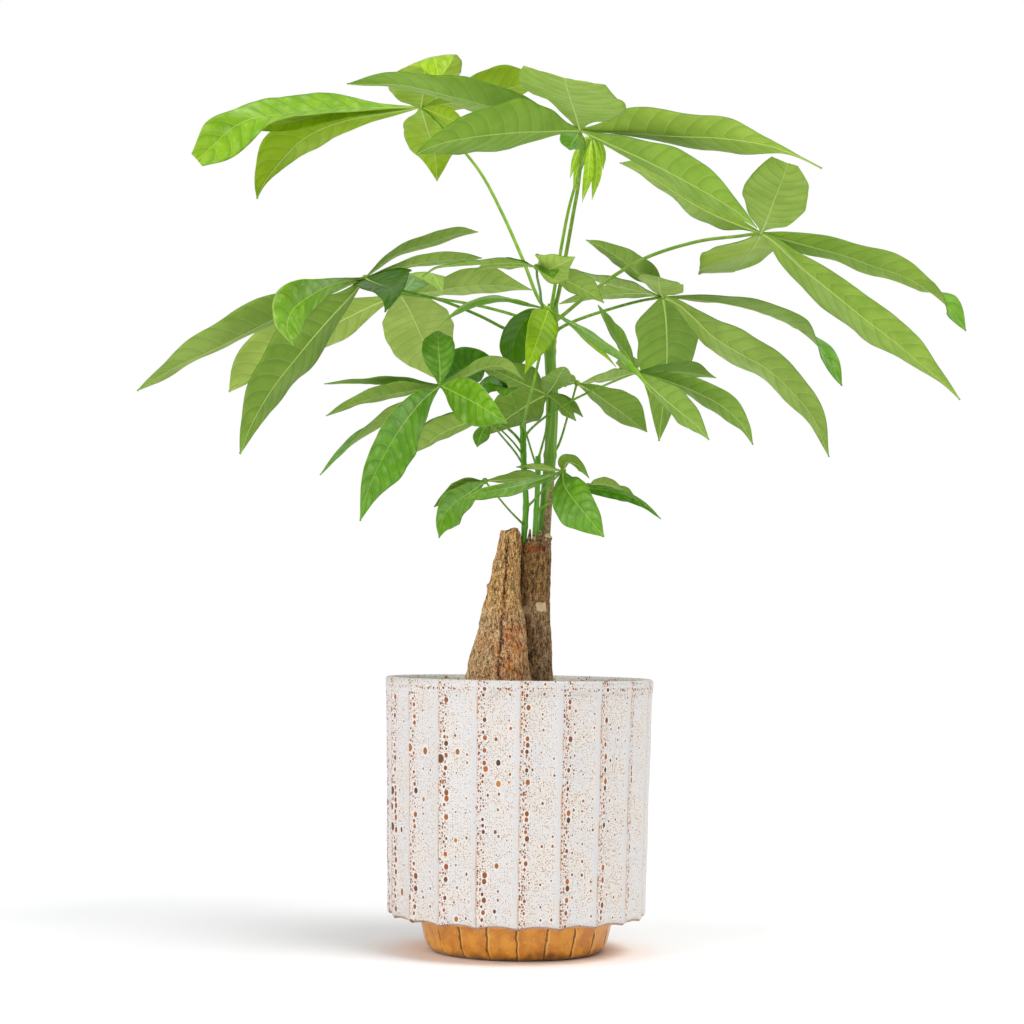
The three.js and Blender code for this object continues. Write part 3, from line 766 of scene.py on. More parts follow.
@dataclass(frozen=True)
class SpeckledGlaze(Finish):
    """White reactive glaze on stoneware, fired glossy over an iron-brown body.

    Gas bursts through it in rusty pinholes, which crowd beside each arris where the glaze ran thin
    and under the lip. A bluish grey band of painted shade runs down the side of each flute before the
    next arris and under each flute's arched top.
    """

    cream: str = "#D8D2CB"
    white: str = "#D4D2D1"
    # the bluish grey of the painted shade in the flutes
    painted_shade_grey: str = "#C4C5C8"
    halo: str = "#EAE8E6"
    tan: str = "#BE8C58"
    edge: str = "#8F5A2C"
    lip: float = 5.32  # flute widths from the lower edge up to the row of pinholes under the lip
    blot_top: tuple[float, float] = (4.75, 4.9)  # the largest pinholes end here, in flute widths
    fired_side: tuple[float, float] = (-20 * MM, 10 * MM)  # and fade over this stretch across
    # the dust lies 1 mm apart: drawn as coarse as it needs to show at 0.6 mm to the pixel
    dust: Pinholes = Pinholes(
        (0.041, 0.041), (0, 0), 0.8, 0.0155, 0.0,
        ((0.0, "#8A6A4C"), (0.5, "#A6845F"), (1.0, "#B8987A")), 0.5, 2.0,
    )
    seam: Pinholes = Pinholes(
        (0.062, 0.068), (0.02, 0), 0.9, 0.029, 0.0,
        ((0.0, "#704010"), (0.5, "#965210"), (1.0, "#AE6C1E")), 0.6,
    )
    drops: Pinholes = Pinholes(
        (1.0, 0.14), (0.06, 0), 0.14, 0.058, 0.0,
        ((0.0, "#54300E"), (0.35, "#84440A"), (1.0, "#AC5E10")), 0.9, 2.0,
    )
    strays: Pinholes = Pinholes(
        (0.26, 0.2), (0.07, 0.1), 0.8, 0.034, 0.4,
        ((0.0, "#4A3420"), (0.3, "#7E4C18"), (1.0, "#A4641F")), 0.8, 2.2,
    )
    blots: Pinholes = Pinholes(
        (0.5, 0.42), (0.1, 0.3), 0.9, 0.085, 0.5,
        ((0.0, "#4A2E14"), (0.4, "#8A5214"), (1.0, "#B87820")), 0.8, 1.7,
    )

    def paint(self, tree: NodeTree, shader: Node) -> None:
        """Paints the glaze, five sizes of pinhole and the brown lower edge.

        Args:
            tree: The material's nodes.
            shader: Its shader.
        """
        add = partial(add_node, tree)
        place = add("TexCoord").outputs["Object"]
        chart = add("UVMap", uv_map="flutes")
        parts = add("SeparateXYZ", (chart,))
        flute = add("Math FRACT", (parts.outputs["X"],))
        rise = parts.outputs["Y"]
        cloud = add("TexNoise", {"Vector": place, "Scale": 1 / (16 * MM), "Detail": 4.0})
        grain = add("TexNoise", {"Vector": place, "Scale": 1 / (1.3 * MM), "Detail": 2.0})
        patch = add("MapRange SMOOTHSTEP", (cloud, 0.4, 0.62))
        base = add("Mix RGBA", (patch, self.white, self.cream))
        haze = add("MapRange", (grain, 0.5, 0.75, 0.0, 0.08))
        base = add("Mix RGBA", (haze, base, self.tan))
        # painted shade: a bluish grey band in the side of each flute before the next arris
        painted_shade_band = add("Math SUBTRACT", (flute, 0.94))
        painted_shade_band = add("Math ABSOLUTE", (painted_shade_band,))
        painted_shade_band = add("MapRange SMOOTHSTEP", (painted_shade_band, 0.0, 0.1, 0.5, 0.0))
        # and painted shade under each flute's arched top
        arch = add("Math SUBTRACT", (rise, self.lip + 0.13))
        arch = add("Math ABSOLUTE", (arch,))
        arch = add("MapRange SMOOTHSTEP", (arch, 0.0, 0.06, 0.55, 0.0))
        painted_shade_band = add("Math MAXIMUM", (painted_shade_band, arch))
        base = add("Mix RGBA", (painted_shade_band, base, self.painted_shade_grey))
        # the arris itself, where the glaze ran off
        wander = add("Math MULTIPLY_ADD", (grain, 0.05, flute))
        arris = add("Math SUBTRACT", (wander, 0.025))
        arris = add("Math PINGPONG", (arris, 0.5))
        arris = add("MapRange SMOOTHSTEP", (arris, 0.008, 0.03, 1.0, 0.0))
        worn = add("MapRange SMOOTHSTEP", (cloud, 0.4, 0.6, 0.2, 0.8))
        worn = add("Math MULTIPLY", (arris, worn))
        base = add("Mix RGBA", (worn, base, self.tan))
        # where the pinholes crowd
        under_lip = add("Math SUBTRACT", (rise, self.lip))
        under_lip = add("Math ABSOLUTE", (under_lip,))
        under_lip = add("MapRange SMOOTHSTEP", (under_lip, 0.02, 0.06, 1.0, 0.0))
        # they crowd over a ragged strip right of each arris
        beside = add("Math MULTIPLY_ADD", (cloud, 0.3, flute))
        beside = add("MapRange SMOOTHSTEP", (beside, 0.28, 0.5, 1.0, 0.0))
        crowd = add("Math MAXIMUM", (beside, under_lip))
        open_part = add("MapRange SMOOTHSTEP", (flute, 0.82, 0.94, 1.0, 0.3))
        dusty = add("MapRange", (patch, 0.0, 1.0, 0.8, 1.0))
        dusty = add("Math MULTIPLY", (dusty, open_part))
        body = add("MapRange", (rise, self.lip + 0.02, self.lip + 0.1, 1.0, 0.0))
        base, dust = self.dust.dress(tree, chart, dusty, base, self.halo)
        base, seam = self.seam.dress(tree, chart, crowd, base, self.halo)
        base, strays = self.strays.dress(tree, chart, dusty, base, self.halo)
        base, drops = self.drops.dress(tree, chart, body, base, self.halo)
        # the largest gather on the side that stood nearer the kiln's fire
        across = add("SeparateXYZ", (place,)).outputs["X"]
        fired = add("MapRange SMOOTHSTEP", (across, *self.fired_side, 1.0, 0.3))
        fired = add("Math MULTIPLY", (fired, open_part))
        below_lip = add("MapRange", (rise, *self.blot_top, 1.0, 0.0))
        fired = add("Math MULTIPLY", (fired, below_lip))
        base, blots = self.blots.dress(tree, chart, fired, base, self.halo)
        # the glaze stops short of the lower edge, and the brown body shows as a thin line
        low = add("Math MULTIPLY_ADD", (grain, 0.03, rise))
        low = add("MapRange SMOOTHSTEP", (low, -0.01, 0.02, 0.7, 0.0))
        base = add("Mix RGBA", (low, base, self.edge))
        holes = add("Math MAXIMUM", (seam, drops))
        holes = add("Math MAXIMUM", (holes, blots))
        holes = add("Math MAXIMUM", (holes, strays))
        holes = add("Math MULTIPLY_ADD", (dust, 0.4, holes))
        depth = add("Math MULTIPLY", (holes, -1.0))
        bump = add("Bump", {"Height": depth, "Strength": 0.5, "Distance": 0.3 * MM})
        gloss = add("MapRange", (holes, 0.0, 1.0, 0.36, 0.6))
        feed(tree, shader, {"Base Color": base, "Normal": bump, "Roughness": gloss, "IOR": 1.5})


@dataclass(frozen=True)
class AmberGlaze(Finish):
    """Transparent amber glaze: it pools dark in the grooves and thins to honey on the ridges."""

    amber: str = "#E09C32"
    honey: str = "#EEBE62"
    pooled: str = "#54300F"
    burnt: str = "#C27A24"

    def paint(self, tree: NodeTree, shader: Node) -> None:
        """Paints the panels, the dark grooves between them and drifts of burnt glaze.

        Args:
            tree: The material's nodes.
            shader: Its shader.
        """
        add = partial(add_node, tree)
        place = add("TexCoord").outputs["Object"]
        height = add("SeparateXYZ", (place,)).outputs["Z"]
        chart = add("UVMap", uv_map="flutes")
        flute = add("SeparateXYZ", (chart,)).outputs["X"]
        cloud = add("TexNoise", {"Vector": place, "Scale": 1 / (9 * MM), "Detail": 4.0})
        grain = add("TexNoise", {"Vector": place, "Scale": 1 / (1.2 * MM), "Detail": 3.0})
        # each groove wanders a little from its place between two panels
        wander = add("Math SUBTRACT", (cloud, 0.5))
        wander = add("Math MULTIPLY_ADD", (wander, 0.3, flute))
        off = add("Math PINGPONG", (wander, 0.5))
        groove = add("MapRange SMOOTHSTEP", (off, 0.01, 0.038, 1.0, 0.0))
        beside = add("Math SUBTRACT", (wander, 0.065))
        beside = add("Math PINGPONG", (beside, 0.5))
        ridge = add("MapRange SMOOTHSTEP", (beside, 0.01, 0.04, 0.7, 0.0))
        tint = add("MapRange SMOOTHSTEP", (cloud, 0.35, 0.7))
        base = add("Mix RGBA", (tint, self.amber, self.burnt))
        fleck = add("MapRange SMOOTHSTEP", (grain, 0.5, 0.75, 0.0, 0.35))
        base = add("Mix RGBA", (fleck, base, self.honey))
        base = add("Mix RGBA", (ridge, base, self.honey))
        dark = add("Math MULTIPLY", (groove, 0.85))
        base = add("Mix RGBA", (dark, base, self.pooled))
        # darker towards the foot's lower edge, and a few blots
        ragged = add("Math MULTIPLY_ADD", (cloud, -9 * MM, height))
        darker_low = add("MapRange SMOOTHSTEP", (ragged, -4.5 * MM, 1.5 * MM, 0.8, 0.0))
        base = add("Mix RGBA", (darker_low, base, self.pooled))
        blot = add("MapRange SMOOTHSTEP", (grain, 0.72, 0.8, 0.0, 0.6))
        base = add("Mix RGBA", (blot, base, self.pooled))
        depth = add("Math MULTIPLY", (grain, 0.25))
        depth = add("Math SUBTRACT", (depth, groove))
        bump = add("Bump", {"Height": depth, "Strength": 0.5, "Distance": 0.5 * MM})
        feed(tree, shader, {"Base Color": base, "Normal": bump, "Roughness": 0.32, "IOR": 1.5})


@dataclass(frozen=True)
class StudioPaper(Finish):
    """Matt white background paper."""

    white: str = "#FBFBFC"

    def paint(self, tree: NodeTree, shader: Node) -> None:
        """Paints plain matt white with the faint tooth of paper.

        Args:
            tree: The material's nodes.
            shader: Its shader.
        """
        add = partial(add_node, tree)
        place = add("TexCoord").outputs["Object"]
        tooth = add("TexNoise", {"Vector": place, "Scale": 1 / (2 * MM)})
        bump = add("Bump", {"Height": tooth, "Strength": 0.05, "Distance": 0.1 * MM})
        feed(tree, shader, {"Normal": bump, "Base Color": self.white, "Roughness": 0.9})


class LeafFinish(Enum):
    """The ages of leaf on the plant: the tissue under, the tissue above, and the stalk's rind."""

    CROWN = (
        LeafTissue("crown_leaf_under", "#96B646", "#7A9C34", "#BCD278", vein_show=0.3),
        LeafTissue("crown_leaf_upper", "#6EA61E", "#4C8410", "#A4CC5C", 0.34, 0.15, 0.3, -1.0, 0.12),
        GreenRind("crown_leaf_rind", "#6C922A", "#94B048"),
        Slot.CROWN_LEAF,
    )
    BRIGHT = (
        LeafTissue("bright_leaf_under", "#9CBE1E", "#7E9E0C", "#BCD458", vein_show=0.3),
        LeafTissue("bright_leaf_upper", "#86B418", "#5E9208", "#B0D060", 0.34, 0.15, 0.3, -1.0, 0.2),
        GreenRind("bright_leaf_rind", "#6FA024", "#A2C048"),
        Slot.CROWN_LEAF,
    )
    GREEN = (
        LeafTissue("green_leaf_under", "#94B24C", "#76963A", "#B4CA78", vein_show=0.35),
        LeafTissue("green_leaf_upper", "#66A01A", "#447A0A", "#9CC650", 0.32, 0.2, 0.25, -1.0, 0.18),
        GreenRind("green_leaf_rind", "#5A8A1E", "#8AB03C"),
        Slot.GREEN_LEAF,
    )
    YOUNG = (
        LeafTissue("young_leaf_under", "#A4CC26", "#82AE12", "#C6E068", vein_show=0.3),
        LeafTissue("young_leaf_upper", "#78B002", "#5C9200", "#A8D234", 0.3, 0.2, 0.25, -1.0, 0.08),
        GreenRind("young_leaf_rind", "#76A422", "#A8C64C"),
        Slot.YOUNG_LEAF,
    )

    @property
    def finishes(self) -> tuple[Finish, Finish, Finish]:
        """The finishes of a leaf's mesh: under, upper, and under again for the back sheet."""
        under, upper = self.value[:2]
        return under, upper, under

    @property
    def rind(self) -> Finish:
        """The finish of the leaf's stalk and hub."""
        return self.value[2]

    @property
    def slot(self) -> Slot:
        """The record's slot for the leaf."""
        return self.value[3]


# ---------------------------------------------------------------- planter
@dataclass(frozen=True)
class Planter:
    """The fluted planter: twenty hollow flutes on the body and a panelled foot set well in."""

    height: float = 162 * MM
    rim_radius: float = 80 * MM  # at the arrises, under the rim
    low_radius: float = 77.2 * MM
    wall: float = 6 * MM
    flutes: int = 20
    steps: int = 20  # round each flute
    flute_depth: float = 2.3 * MM
    flute_low: float = 24 * MM
    flute_high: float = 156 * MM
    arch: float = 4.5 * MM  # how far a flute's top arches up between its arrises
    scallop: float = 1.3 * MM  # how far the lower edge dips at each arris
    foot_radius: float = 57.6 * MM
    foot_base_radius: float = 54 * MM
    panel_depth: float = 0.9 * MM
    floor: float = 12 * MM
    arris_round: float = 0.0035  # rounds the arrises off, in half flute widths squared
    groove_half: float = 0.028  # half width of the grooves between panels, in flute widths
    turn: float = 0.4  # degrees from the front to the nearest arris
    glaze: Finish = SpeckledGlaze("white_reactive_glaze")
    foot_glaze: Finish = AmberGlaze("amber_foot_glaze")

    def outline(self) -> list[tuple[float, float]]:
        """Lists the section's corners, from the base up and down inside.

        Returns:
            Each corner's radius and height.
        """
        low, foot, base = self.flute_low, self.foot_radius, self.foot_base_radius
        rim, wall, top = self.rim_radius, self.wall, self.height
        corners = [(0, 0), (base - 6 * MM, 0), (base - 3.4 * MM, 0.9 * MM), (base - 1.2 * MM, 3 * MM)]
        corners += [(base + 0.5 * MM, 6.5 * MM), (base + 2 * MM, 13 * MM)]
        corners += [(foot - 0.2 * MM, low - 5 * MM), (foot, low - 3.4 * MM)]
        corners += [(foot + 0.6 * MM, low - 2.6 * MM)]
        corners += [(self.low_radius - 4 * MM, low - 2.4 * MM), (self.low_radius - 1.6 * MM, low - 2 * MM)]
        corners += [(self.low_radius - 0.4 * MM, low - 0.6 * MM), (self.low_radius, low + 1 * MM)]
        corners += [(rim - 0.2 * MM, self.flute_high - 6 * MM), (rim, self.flute_high + 2 * MM)]
        corners += [(rim, top - 1.4 * MM), (rim - 0.5 * MM, top - 0.4 * MM), (rim - 1.4 * MM, top)]
        corners += [(rim - 3.0 * MM, top - 0.1 * MM), (rim - 4.4 * MM, top - 0.9 * MM)]
        corners += [(rim - wall + 0.4 * MM, top - 3 * MM), (rim - wall, top - 10 * MM)]
        corners += [(self.low_radius - wall, low + 12 * MM), (foot - wall, low + 2 * MM)]
        return corners + [(foot - wall - 3 * MM, self.floor), (0, self.floor)]

    def section(self, longest: float = 2.6 * MM) -> list[tuple[float, float]]:
        """Lists the section's points, close enough for a smooth wall.

        Args:
            longest: The furthest that two points lie apart.

        Returns:
            Each point's radius and height.
        """
        corners = self.outline()
        points = [corners[0]]
        for one, two in zip(corners, corners[1:]):
            count = max(1, math.ceil(math.dist(one, two) / longest))
            for share in (i / count for i in range(1, count + 1)):
                points.append((mix(one[0], two[0], share), mix(one[1], two[1], share)))
        return points

    def flute_place(self, angle: float) -> float:
        """Counts flutes round the planter from the front arris, so whole numbers are arrises."""
        past = angle + math.pi / 2 - math.radians(self.turn)
        return math.remainder(past, math.tau) / math.tau * self.flutes

    def pressed(self, point: Vector) -> Vector:
        """Presses the flutes and the foot's panels into a point of the turned shape.

        Args:
            point: The point on the turned shape.

        Returns:
            The point on the pressed shape.
        """
        radius = math.hypot(point.x, point.y)
        if radius < 1 * MM:
            return point
        place = self.flute_place(math.atan2(point.y, point.x))
        share = min(1.0, math.sqrt((2 * abs(place - round(place))) ** 2 + self.arris_round))
        hollow = 1 - (1 - share) ** 2
        z = point.z
        inward = 0.0
        if radius > self.low_radius - 3 * MM and self.flute_low - 3 * MM < z < self.flute_high + 2 * MM:
            crown = self.flute_high - self.arch * (1 - hollow)
            inward = self.flute_depth * hollow * smooth(crown + 1.5 * MM, crown - 2.5 * MM, z)
            z += self.scallop * (hollow - 1) * smooth(self.flute_low + 7 * MM, self.flute_low + 1 * MM, z)
        elif radius > self.foot_base_radius - 2 * MM and z < self.flute_low - 3 * MM:
            groove = math.exp(-((place - round(place)) / self.groove_half) ** 2)
            inward = self.panel_depth * (0.6 * hollow + 0.9 * groove) * smooth(0, 2 * MM, z)
        # the fired wall is a little uneven, in waves of about 26 mm and 9 mm
        uneven = noise.noise(point * 38) * 0.35 * MM + noise.noise(point * 110) * 0.12 * MM
        scale = (radius - inward + uneven * smooth(30 * MM, 50 * MM, radius)) / radius
        return Vector((point.x * scale, point.y * scale, z))

    def build(self) -> list[Object]:
        """Turns the section round the axis, charts it, presses the flutes in and glazes it.

        Returns:
            The planter.
        """
        bm = new_bmesh(("run",))
        run = bm.verts.layers.float["run"]
        points = self.section()
        corners = [bm.verts.new((radius, 0, z)) for radius, z in points]
        for one, two in zip(corners, corners[1:]):
            two[run] = one[run] + (two.co - one.co).length
        edge = next(corner[run] for corner in corners if corner.co.x > self.low_radius - 0.5 * MM)
        turn_round(bm, corners, self.flutes * self.steps)
        bmesh.ops.rotate(bm, verts=bm.verts, matrix=Matrix.Rotation(math.radians(self.turn), 3, "Z"))
        bmesh.ops.recalc_face_normals(bm, faces=bm.faces)
        chart = bm.loops.layers.uv.new("flutes")
        flute_width = math.tau * self.rim_radius / self.flutes
        for face in bm.faces:
            face.smooth = True
            middle = face.calc_center_median()
            inside = math.hypot(middle.x, middle.y) < self.low_radius - 2.6 * MM
            face.material_index = int(inside and middle.z < self.flute_low - 1.4 * MM)
            centre = self.flute_place(math.atan2(middle.y, middle.x))
            for loop in face.loops:
                place = self.flute_place(math.atan2(loop.vert.co.y, loop.vert.co.x))
                place += self.flutes * round((centre - place) / self.flutes)
                loop[chart].uv = (place + self.flutes, (loop.vert[run] - edge) / flute_width)
        for corner in bm.verts:
            corner.co = self.pressed(corner.co)
        return [make_piece(bm, "planter_glazed", "planter", (self.glaze, self.foot_glaze))]


# ---------------------------------------------------------------- soil
@dataclass(frozen=True)
class Soil:
    """The potting soil that fills the planter, with loose chips of bark and a few white grains."""

    top: float = 154 * MM
    floor: float = 12.32 * MM
    rim: float = 73.6 * MM
    steps: int = 168  # round the heap
    rings: int = 48  # from the rim to the middle
    under: tuple[tuple[float, float], ...] = ((51.2 * MM, 26.3 * MM), (70.8 * MM, 36.3 * MM))
    under_radius: float = 48.2 * MM  # of the flat underside
    chips: int = 330
    chip_mm: tuple[float, float] = (1.2, 3.6)  # radius of the smallest and the largest
    pearls: int = 40
    pearl_mm: tuple[float, float] = (0.9, 1.7)
    strewn: float = 0.965  # how near the rim the loose bits lie
    seed: int = 11
    earth: Finish = Earth("damp_potting_soil")
    chip: Finish = Earth("bark_chip", "#4A3322", "#8A6845", 1.1 * MM)
    pearl: Finish = Earth("perlite_grain", "#CFCBC2", "#ECE9E2", 0.9 * MM)

    def heap(self, x: float, y: float) -> float:
        """Gives the height of the crumbly surface.

        Args:
            x: Place across.
            y: Place away.

        Returns:
            The height in metres.
        """
        spot = Vector((x, y, 0))
        rough = noise.fractal(spot * 120, 0.8, 2.1, 4) * 1.5 * MM
        swell = noise.noise(spot * 22) * 1.6 * MM
        return self.top + swell + rough

    def ground(self) -> BMesh:
        """Turns the soil's section and roughens its top.

        Returns:
            The soil's mesh.
        """
        bm = new_bmesh(())
        below = [(0, self.floor), (self.under_radius, self.floor), *self.under]
        rings = [(self.rim * (1 - i / self.rings), self.top) for i in range(self.rings + 1)]
        rings[0] = (self.rim, self.top - 2 * MM)
        corners = [bm.verts.new((radius, 0, z)) for radius, z in below + rings]
        turn_round(bm, corners, self.steps)
        bmesh.ops.recalc_face_normals(bm, faces=bm.faces)
        for corner in bm.verts:
            if corner.co.z > self.top - 1 * MM:
                corner.co.z = self.heap(corner.co.x, corner.co.y)
        for face in bm.faces:
            face.smooth = True
        return bm

    def build(self) -> list[Object]:
        """Makes the soil, then strews chips and white grains over it.

        Returns:
            The soil and its loose bits.
        """
        soil = make_piece(self.ground(), "soil_bed", "soil", (self.earth,))
        dice = random.Random(self.seed)
        bm = new_bmesh(())
        for number in range(self.chips + self.pearls):
            reach = self.rim * self.strewn * math.sqrt(dice.random())
            angle = dice.uniform(0, math.tau)
            x, y = reach * math.cos(angle), reach * math.sin(angle)
            pearl = number >= self.chips
            size = dice.uniform(*(self.pearl_mm if pearl else self.chip_mm))
            made = bmesh.ops.create_icosphere(bm, subdivisions=1, radius=size * MM)
            flat = (1, 1, 0.9) if pearl else (1.0, dice.uniform(0.45, 0.8), dice.uniform(0.25, 0.5))
            bmesh.ops.scale(bm, verts=made["verts"], vec=flat)
            for corner in made["verts"]:
                corner.co *= 1 + 0.28 * noise.noise(corner.co * 900 + Vector((number, 0, 0)))
            lean = Quaternion((math.cos(angle * 7), math.sin(angle * 7), 0), dice.uniform(-0.5, 0.5))
            spin = Quaternion((0, 0, 1), dice.uniform(0, math.tau))
            seat = Vector((x, y, self.heap(x, y) + 0.3 * MM))
            matrix = Matrix.Translation(seat) @ (lean @ spin).to_matrix().to_4x4()
            bmesh.ops.transform(bm, matrix=matrix, verts=made["verts"])
            for face in dict.fromkeys(f for corner in made["verts"] for f in corner.link_faces):
                face.material_index = int(pearl)
        chips = make_piece(bm, "soil_chips", "soil", (self.chip, self.pearl))
        return [soil, chips]


# ---------------------------------------------------------------- trunks
@dataclass(frozen=True)
class Patch:
    """A mark on the front of a trunk, by the squares of the sight grid that it covers."""

    columns: tuple[float, float]
    rows: tuple[float, float]
    soft: float = 1.2
    strength: float = 1.0

    def weight(self, column: float, row: float) -> float:
        """Tells how far a place lies inside the mark.

        Args:
            column: The place's column.
            row: Its row.

        Returns:
            The share, 0 to 1 times the strength.
        """
        (left, right), (top, bottom) = self.columns, self.rows
        inside = min(column - left, right - column, row - top, bottom - row)
        return self.strength * smooth(-self.soft, self.soft, inside)


@dataclass(frozen=True)
class Stub:
    """A short cut-off side shoot or a splinter that stands up from a trunk."""

    foot: Point
    top: Point
    radius: float  # at the foot
    taper: float  # radius at the top as a share of the foot's
    sides: int = 18
    rows: int = 10

    def add_to(self, bm: BMesh) -> None:
        """Adds the stub to its trunk's mesh, with a pale cut at its top.

        Args:
            bm: The trunk's mesh.
        """
        foot, top = GRID.point(self.foot), GRID.point(self.top)
        line = Spline([foot, foot.lerp(top, 0.5), top])
        frames = [line.frame(i / self.rows) for i in range(self.rows + 1)]

        def side(along: float, angle: float) -> Vector:
            """Puts a corner of the rod on the stub.

            Args:
                along: Share of the rod's length.
                angle: Angle round the rod.

            Returns:
                The corner's point.
            """
            point, across, away = frames[round(along * self.rows)]
            rough = 1 + 0.14 * math.sin(3 * angle + 5 * along) - 0.25 * smooth(0.85, 1.0, along)
            radius = self.radius * mix(1.0, self.taper, along) * rough
            return point + (across * math.cos(angle) + away * math.sin(angle)) * radius

        for corner in add_rod(bm, self.sides, self.rows, side):
            along = corner[bm.verts.layers.float["along"]]
            corner[bm.verts.layers.float["bare"]] = smooth(0.95, 1.0, along) * min(1.0, self.taper * 1.6)
            corner[bm.verts.layers.float["relief"]] = 0.35 + 0.3 * math.sin(40 * along)


@dataclass(frozen=True)
class Trunk:
    """A sawn-off trunk under fibrous bark, set out by its middle line and girth."""

    name: str
    node: str
    slot: Slot
    finish: Finish
    stations: tuple[tuple[float, float, float, float], ...]  # column, row, depth, half width in squares
    phase: float
    crest: Callable[[float], float]  # extra height of the sawn top by the angle round it
    rust: tuple[Patch, ...] = ()
    bare: tuple[Patch, ...] = ()
    olive: tuple[Patch, ...] = ()
    seam: tuple[tuple[float, float], ...] = ()  # row and column of a crack down the front
    knobs: tuple[tuple[float, float, float], ...] = ()  # column, row, height in millimetres
    stubs: tuple[Stub, ...] = ()
    sides: int = 150
    rows: int = 250
    relief: float = 1.0 * MM
    cut_rings: Profile = (1.2 * MM, 1.6 * MM, 1.8 * MM)  # steps in over the sawn top
    worn: float = 0.2  # how far the sawn top's edge is worn in, as a share of its radius

    def seam_depth(self, column: float, row: float) -> float:
        """Tells how deep a place lies in the crack down the front.

        Args:
            column: The place's column.
            row: Its row.

        Returns:
            The depth as a share, 0 to 1.
        """
        for (top, one), (low, two) in zip(self.seam, self.seam[1:]):
            if top <= row <= low:
                middle = mix(one, two, (row - top) / (low - top))
                stray = 1.5 * noise.noise(Vector((0, 0, row * 0.11)))
                return 0.6 * math.exp(-(((column - middle + stray) / 1.2) ** 2))
        return 0.0

    def build(self) -> list[Object]:
        """Bends a rod along the trunk and works the bark into it.

        Returns:
            The trunk.
        """
        names = ("along", *BARK_LAYERS)
        bm = new_bmesh(names)
        layers = {name: bm.verts.layers.float[name] for name in names}
        knots = [GRID.point(station[:3]) for station in self.stations]
        line = Spline(knots)
        reach = [0.0]
        for one, two in zip(knots, knots[1:]):
            reach.append(reach[-1] + (two - one).length)
        girths = [station[3] * GRID.square for station in self.stations]
        frames = [line.frame(i / self.rows) for i in range(self.rows + 1)]

        def girth_at(along: float) -> float:
            """Gives the half width at a share of the length.

            Args:
                along: Share of the trunk's length.

            Returns:
                The half width in metres.
            """
            place = along * reach[-1]
            index = next((i for i in range(1, len(reach)) if place <= reach[i]), len(reach) - 1)
            share = (place - reach[index - 1]) / (reach[index] - reach[index - 1])
            return mix(girths[index - 1], girths[index], min(share, 1.0))

        def bark(along: float, angle: float) -> Vector:
            """Puts a corner of the rod on the bark, whose top is worn round.

            Args:
                along: Share of the rod's length.
                angle: Angle round the rod.

            Returns:
                The corner's point.
            """
            point, side, face = frames[round(along * self.rows)]
            out = side * math.cos(angle) + face * math.sin(angle)
            lobes = math.sin(5 * angle + self.phase + 4 * along) + 0.7 * math.sin(8 * angle - 7 * along)
            lobes = lobes + 0.6 * math.sin(3 * angle + 11 * along + self.phase)
            radius = girth_at(along) * (1 + 0.0175 * lobes)
            radius *= 1 - self.worn * smooth(0.97, 1.0, along) ** 2
            rise = line.tangent(along) * self.crest(math.atan2(out.y, out.x)) * smooth(0.93, 1.0, along)
            return point + out * radius + rise

        corners = add_rod(bm, self.sides, self.rows, bark)
        tops = [face for face in bm.faces if len(face.verts) > 4]
        for inset in self.cut_rings:
            tops = [face for face in tops if face.is_valid and len(face.verts) > 4]
            bmesh.ops.inset_region(bm, faces=tops, thickness=inset, use_even_offset=False)
        bm.normal_update()
        outward = {corner: corner.normal.copy() for corner in corners}
        for corner, normal in outward.items():
            spot = corner.co
            # strands 2 mm across and 13 mm long, finer ones over them, and lumps 12 mm across
            shift = Vector((self.phase, 0, 0))
            strand = noise.noise(Vector((spot.x * 480, spot.y * 480, spot.z * 75)) + shift)
            fine = noise.noise(Vector((spot.x * 950, spot.y * 950, spot.z * 240)))
            lump = noise.noise(spot * 85)
            height = 0.5 + 0.32 * strand + 0.22 * fine + 0.12 * lump
            column, row = GRID.seen(spot)
            front = float(normal.y < 0.25)
            crack = front * self.seam_depth(column, row)
            for name in ("rust", "bare", "olive"):
                marks = (patch.weight(column, row) for patch in getattr(self, name))
                corner[layers[name]] = front * max(marks, default=0.0)
            bare = corner[layers["bare"]]
            # the crack lowers the relief, which the bark's colour ramp paints dark: partly painted shade
            corner[layers["relief"]] = mix(height, 0.75, bare) - 1.3 * crack
            swell = sum(
                tall * MM * math.exp(-((column - at) ** 2 + (row - level) ** 2) / 7)
                for at, level, tall in self.knobs
            )
            worn = mix((2 * height - 1) * self.relief + lump * 0.8 * MM, -0.5 * MM, bare) - 1.1 * MM * crack
            corner.co = spot + normal * (worn + swell)
        for stub in self.stubs:
            stub.add_to(bm)
        for face in bm.faces:
            face.smooth = True
        return [make_piece(bm, self.name, self.node, (self.finish,))]


TAN_BARK = Bark("tan_fibrous_bark")
BROWN_BARK = Bark(
    "brown_fibrous_bark", "#281D15", "#6E543B", "#9B7D58", "#CDAE80", "#B0602C", "#8C8458", "#E6D4A6"
)

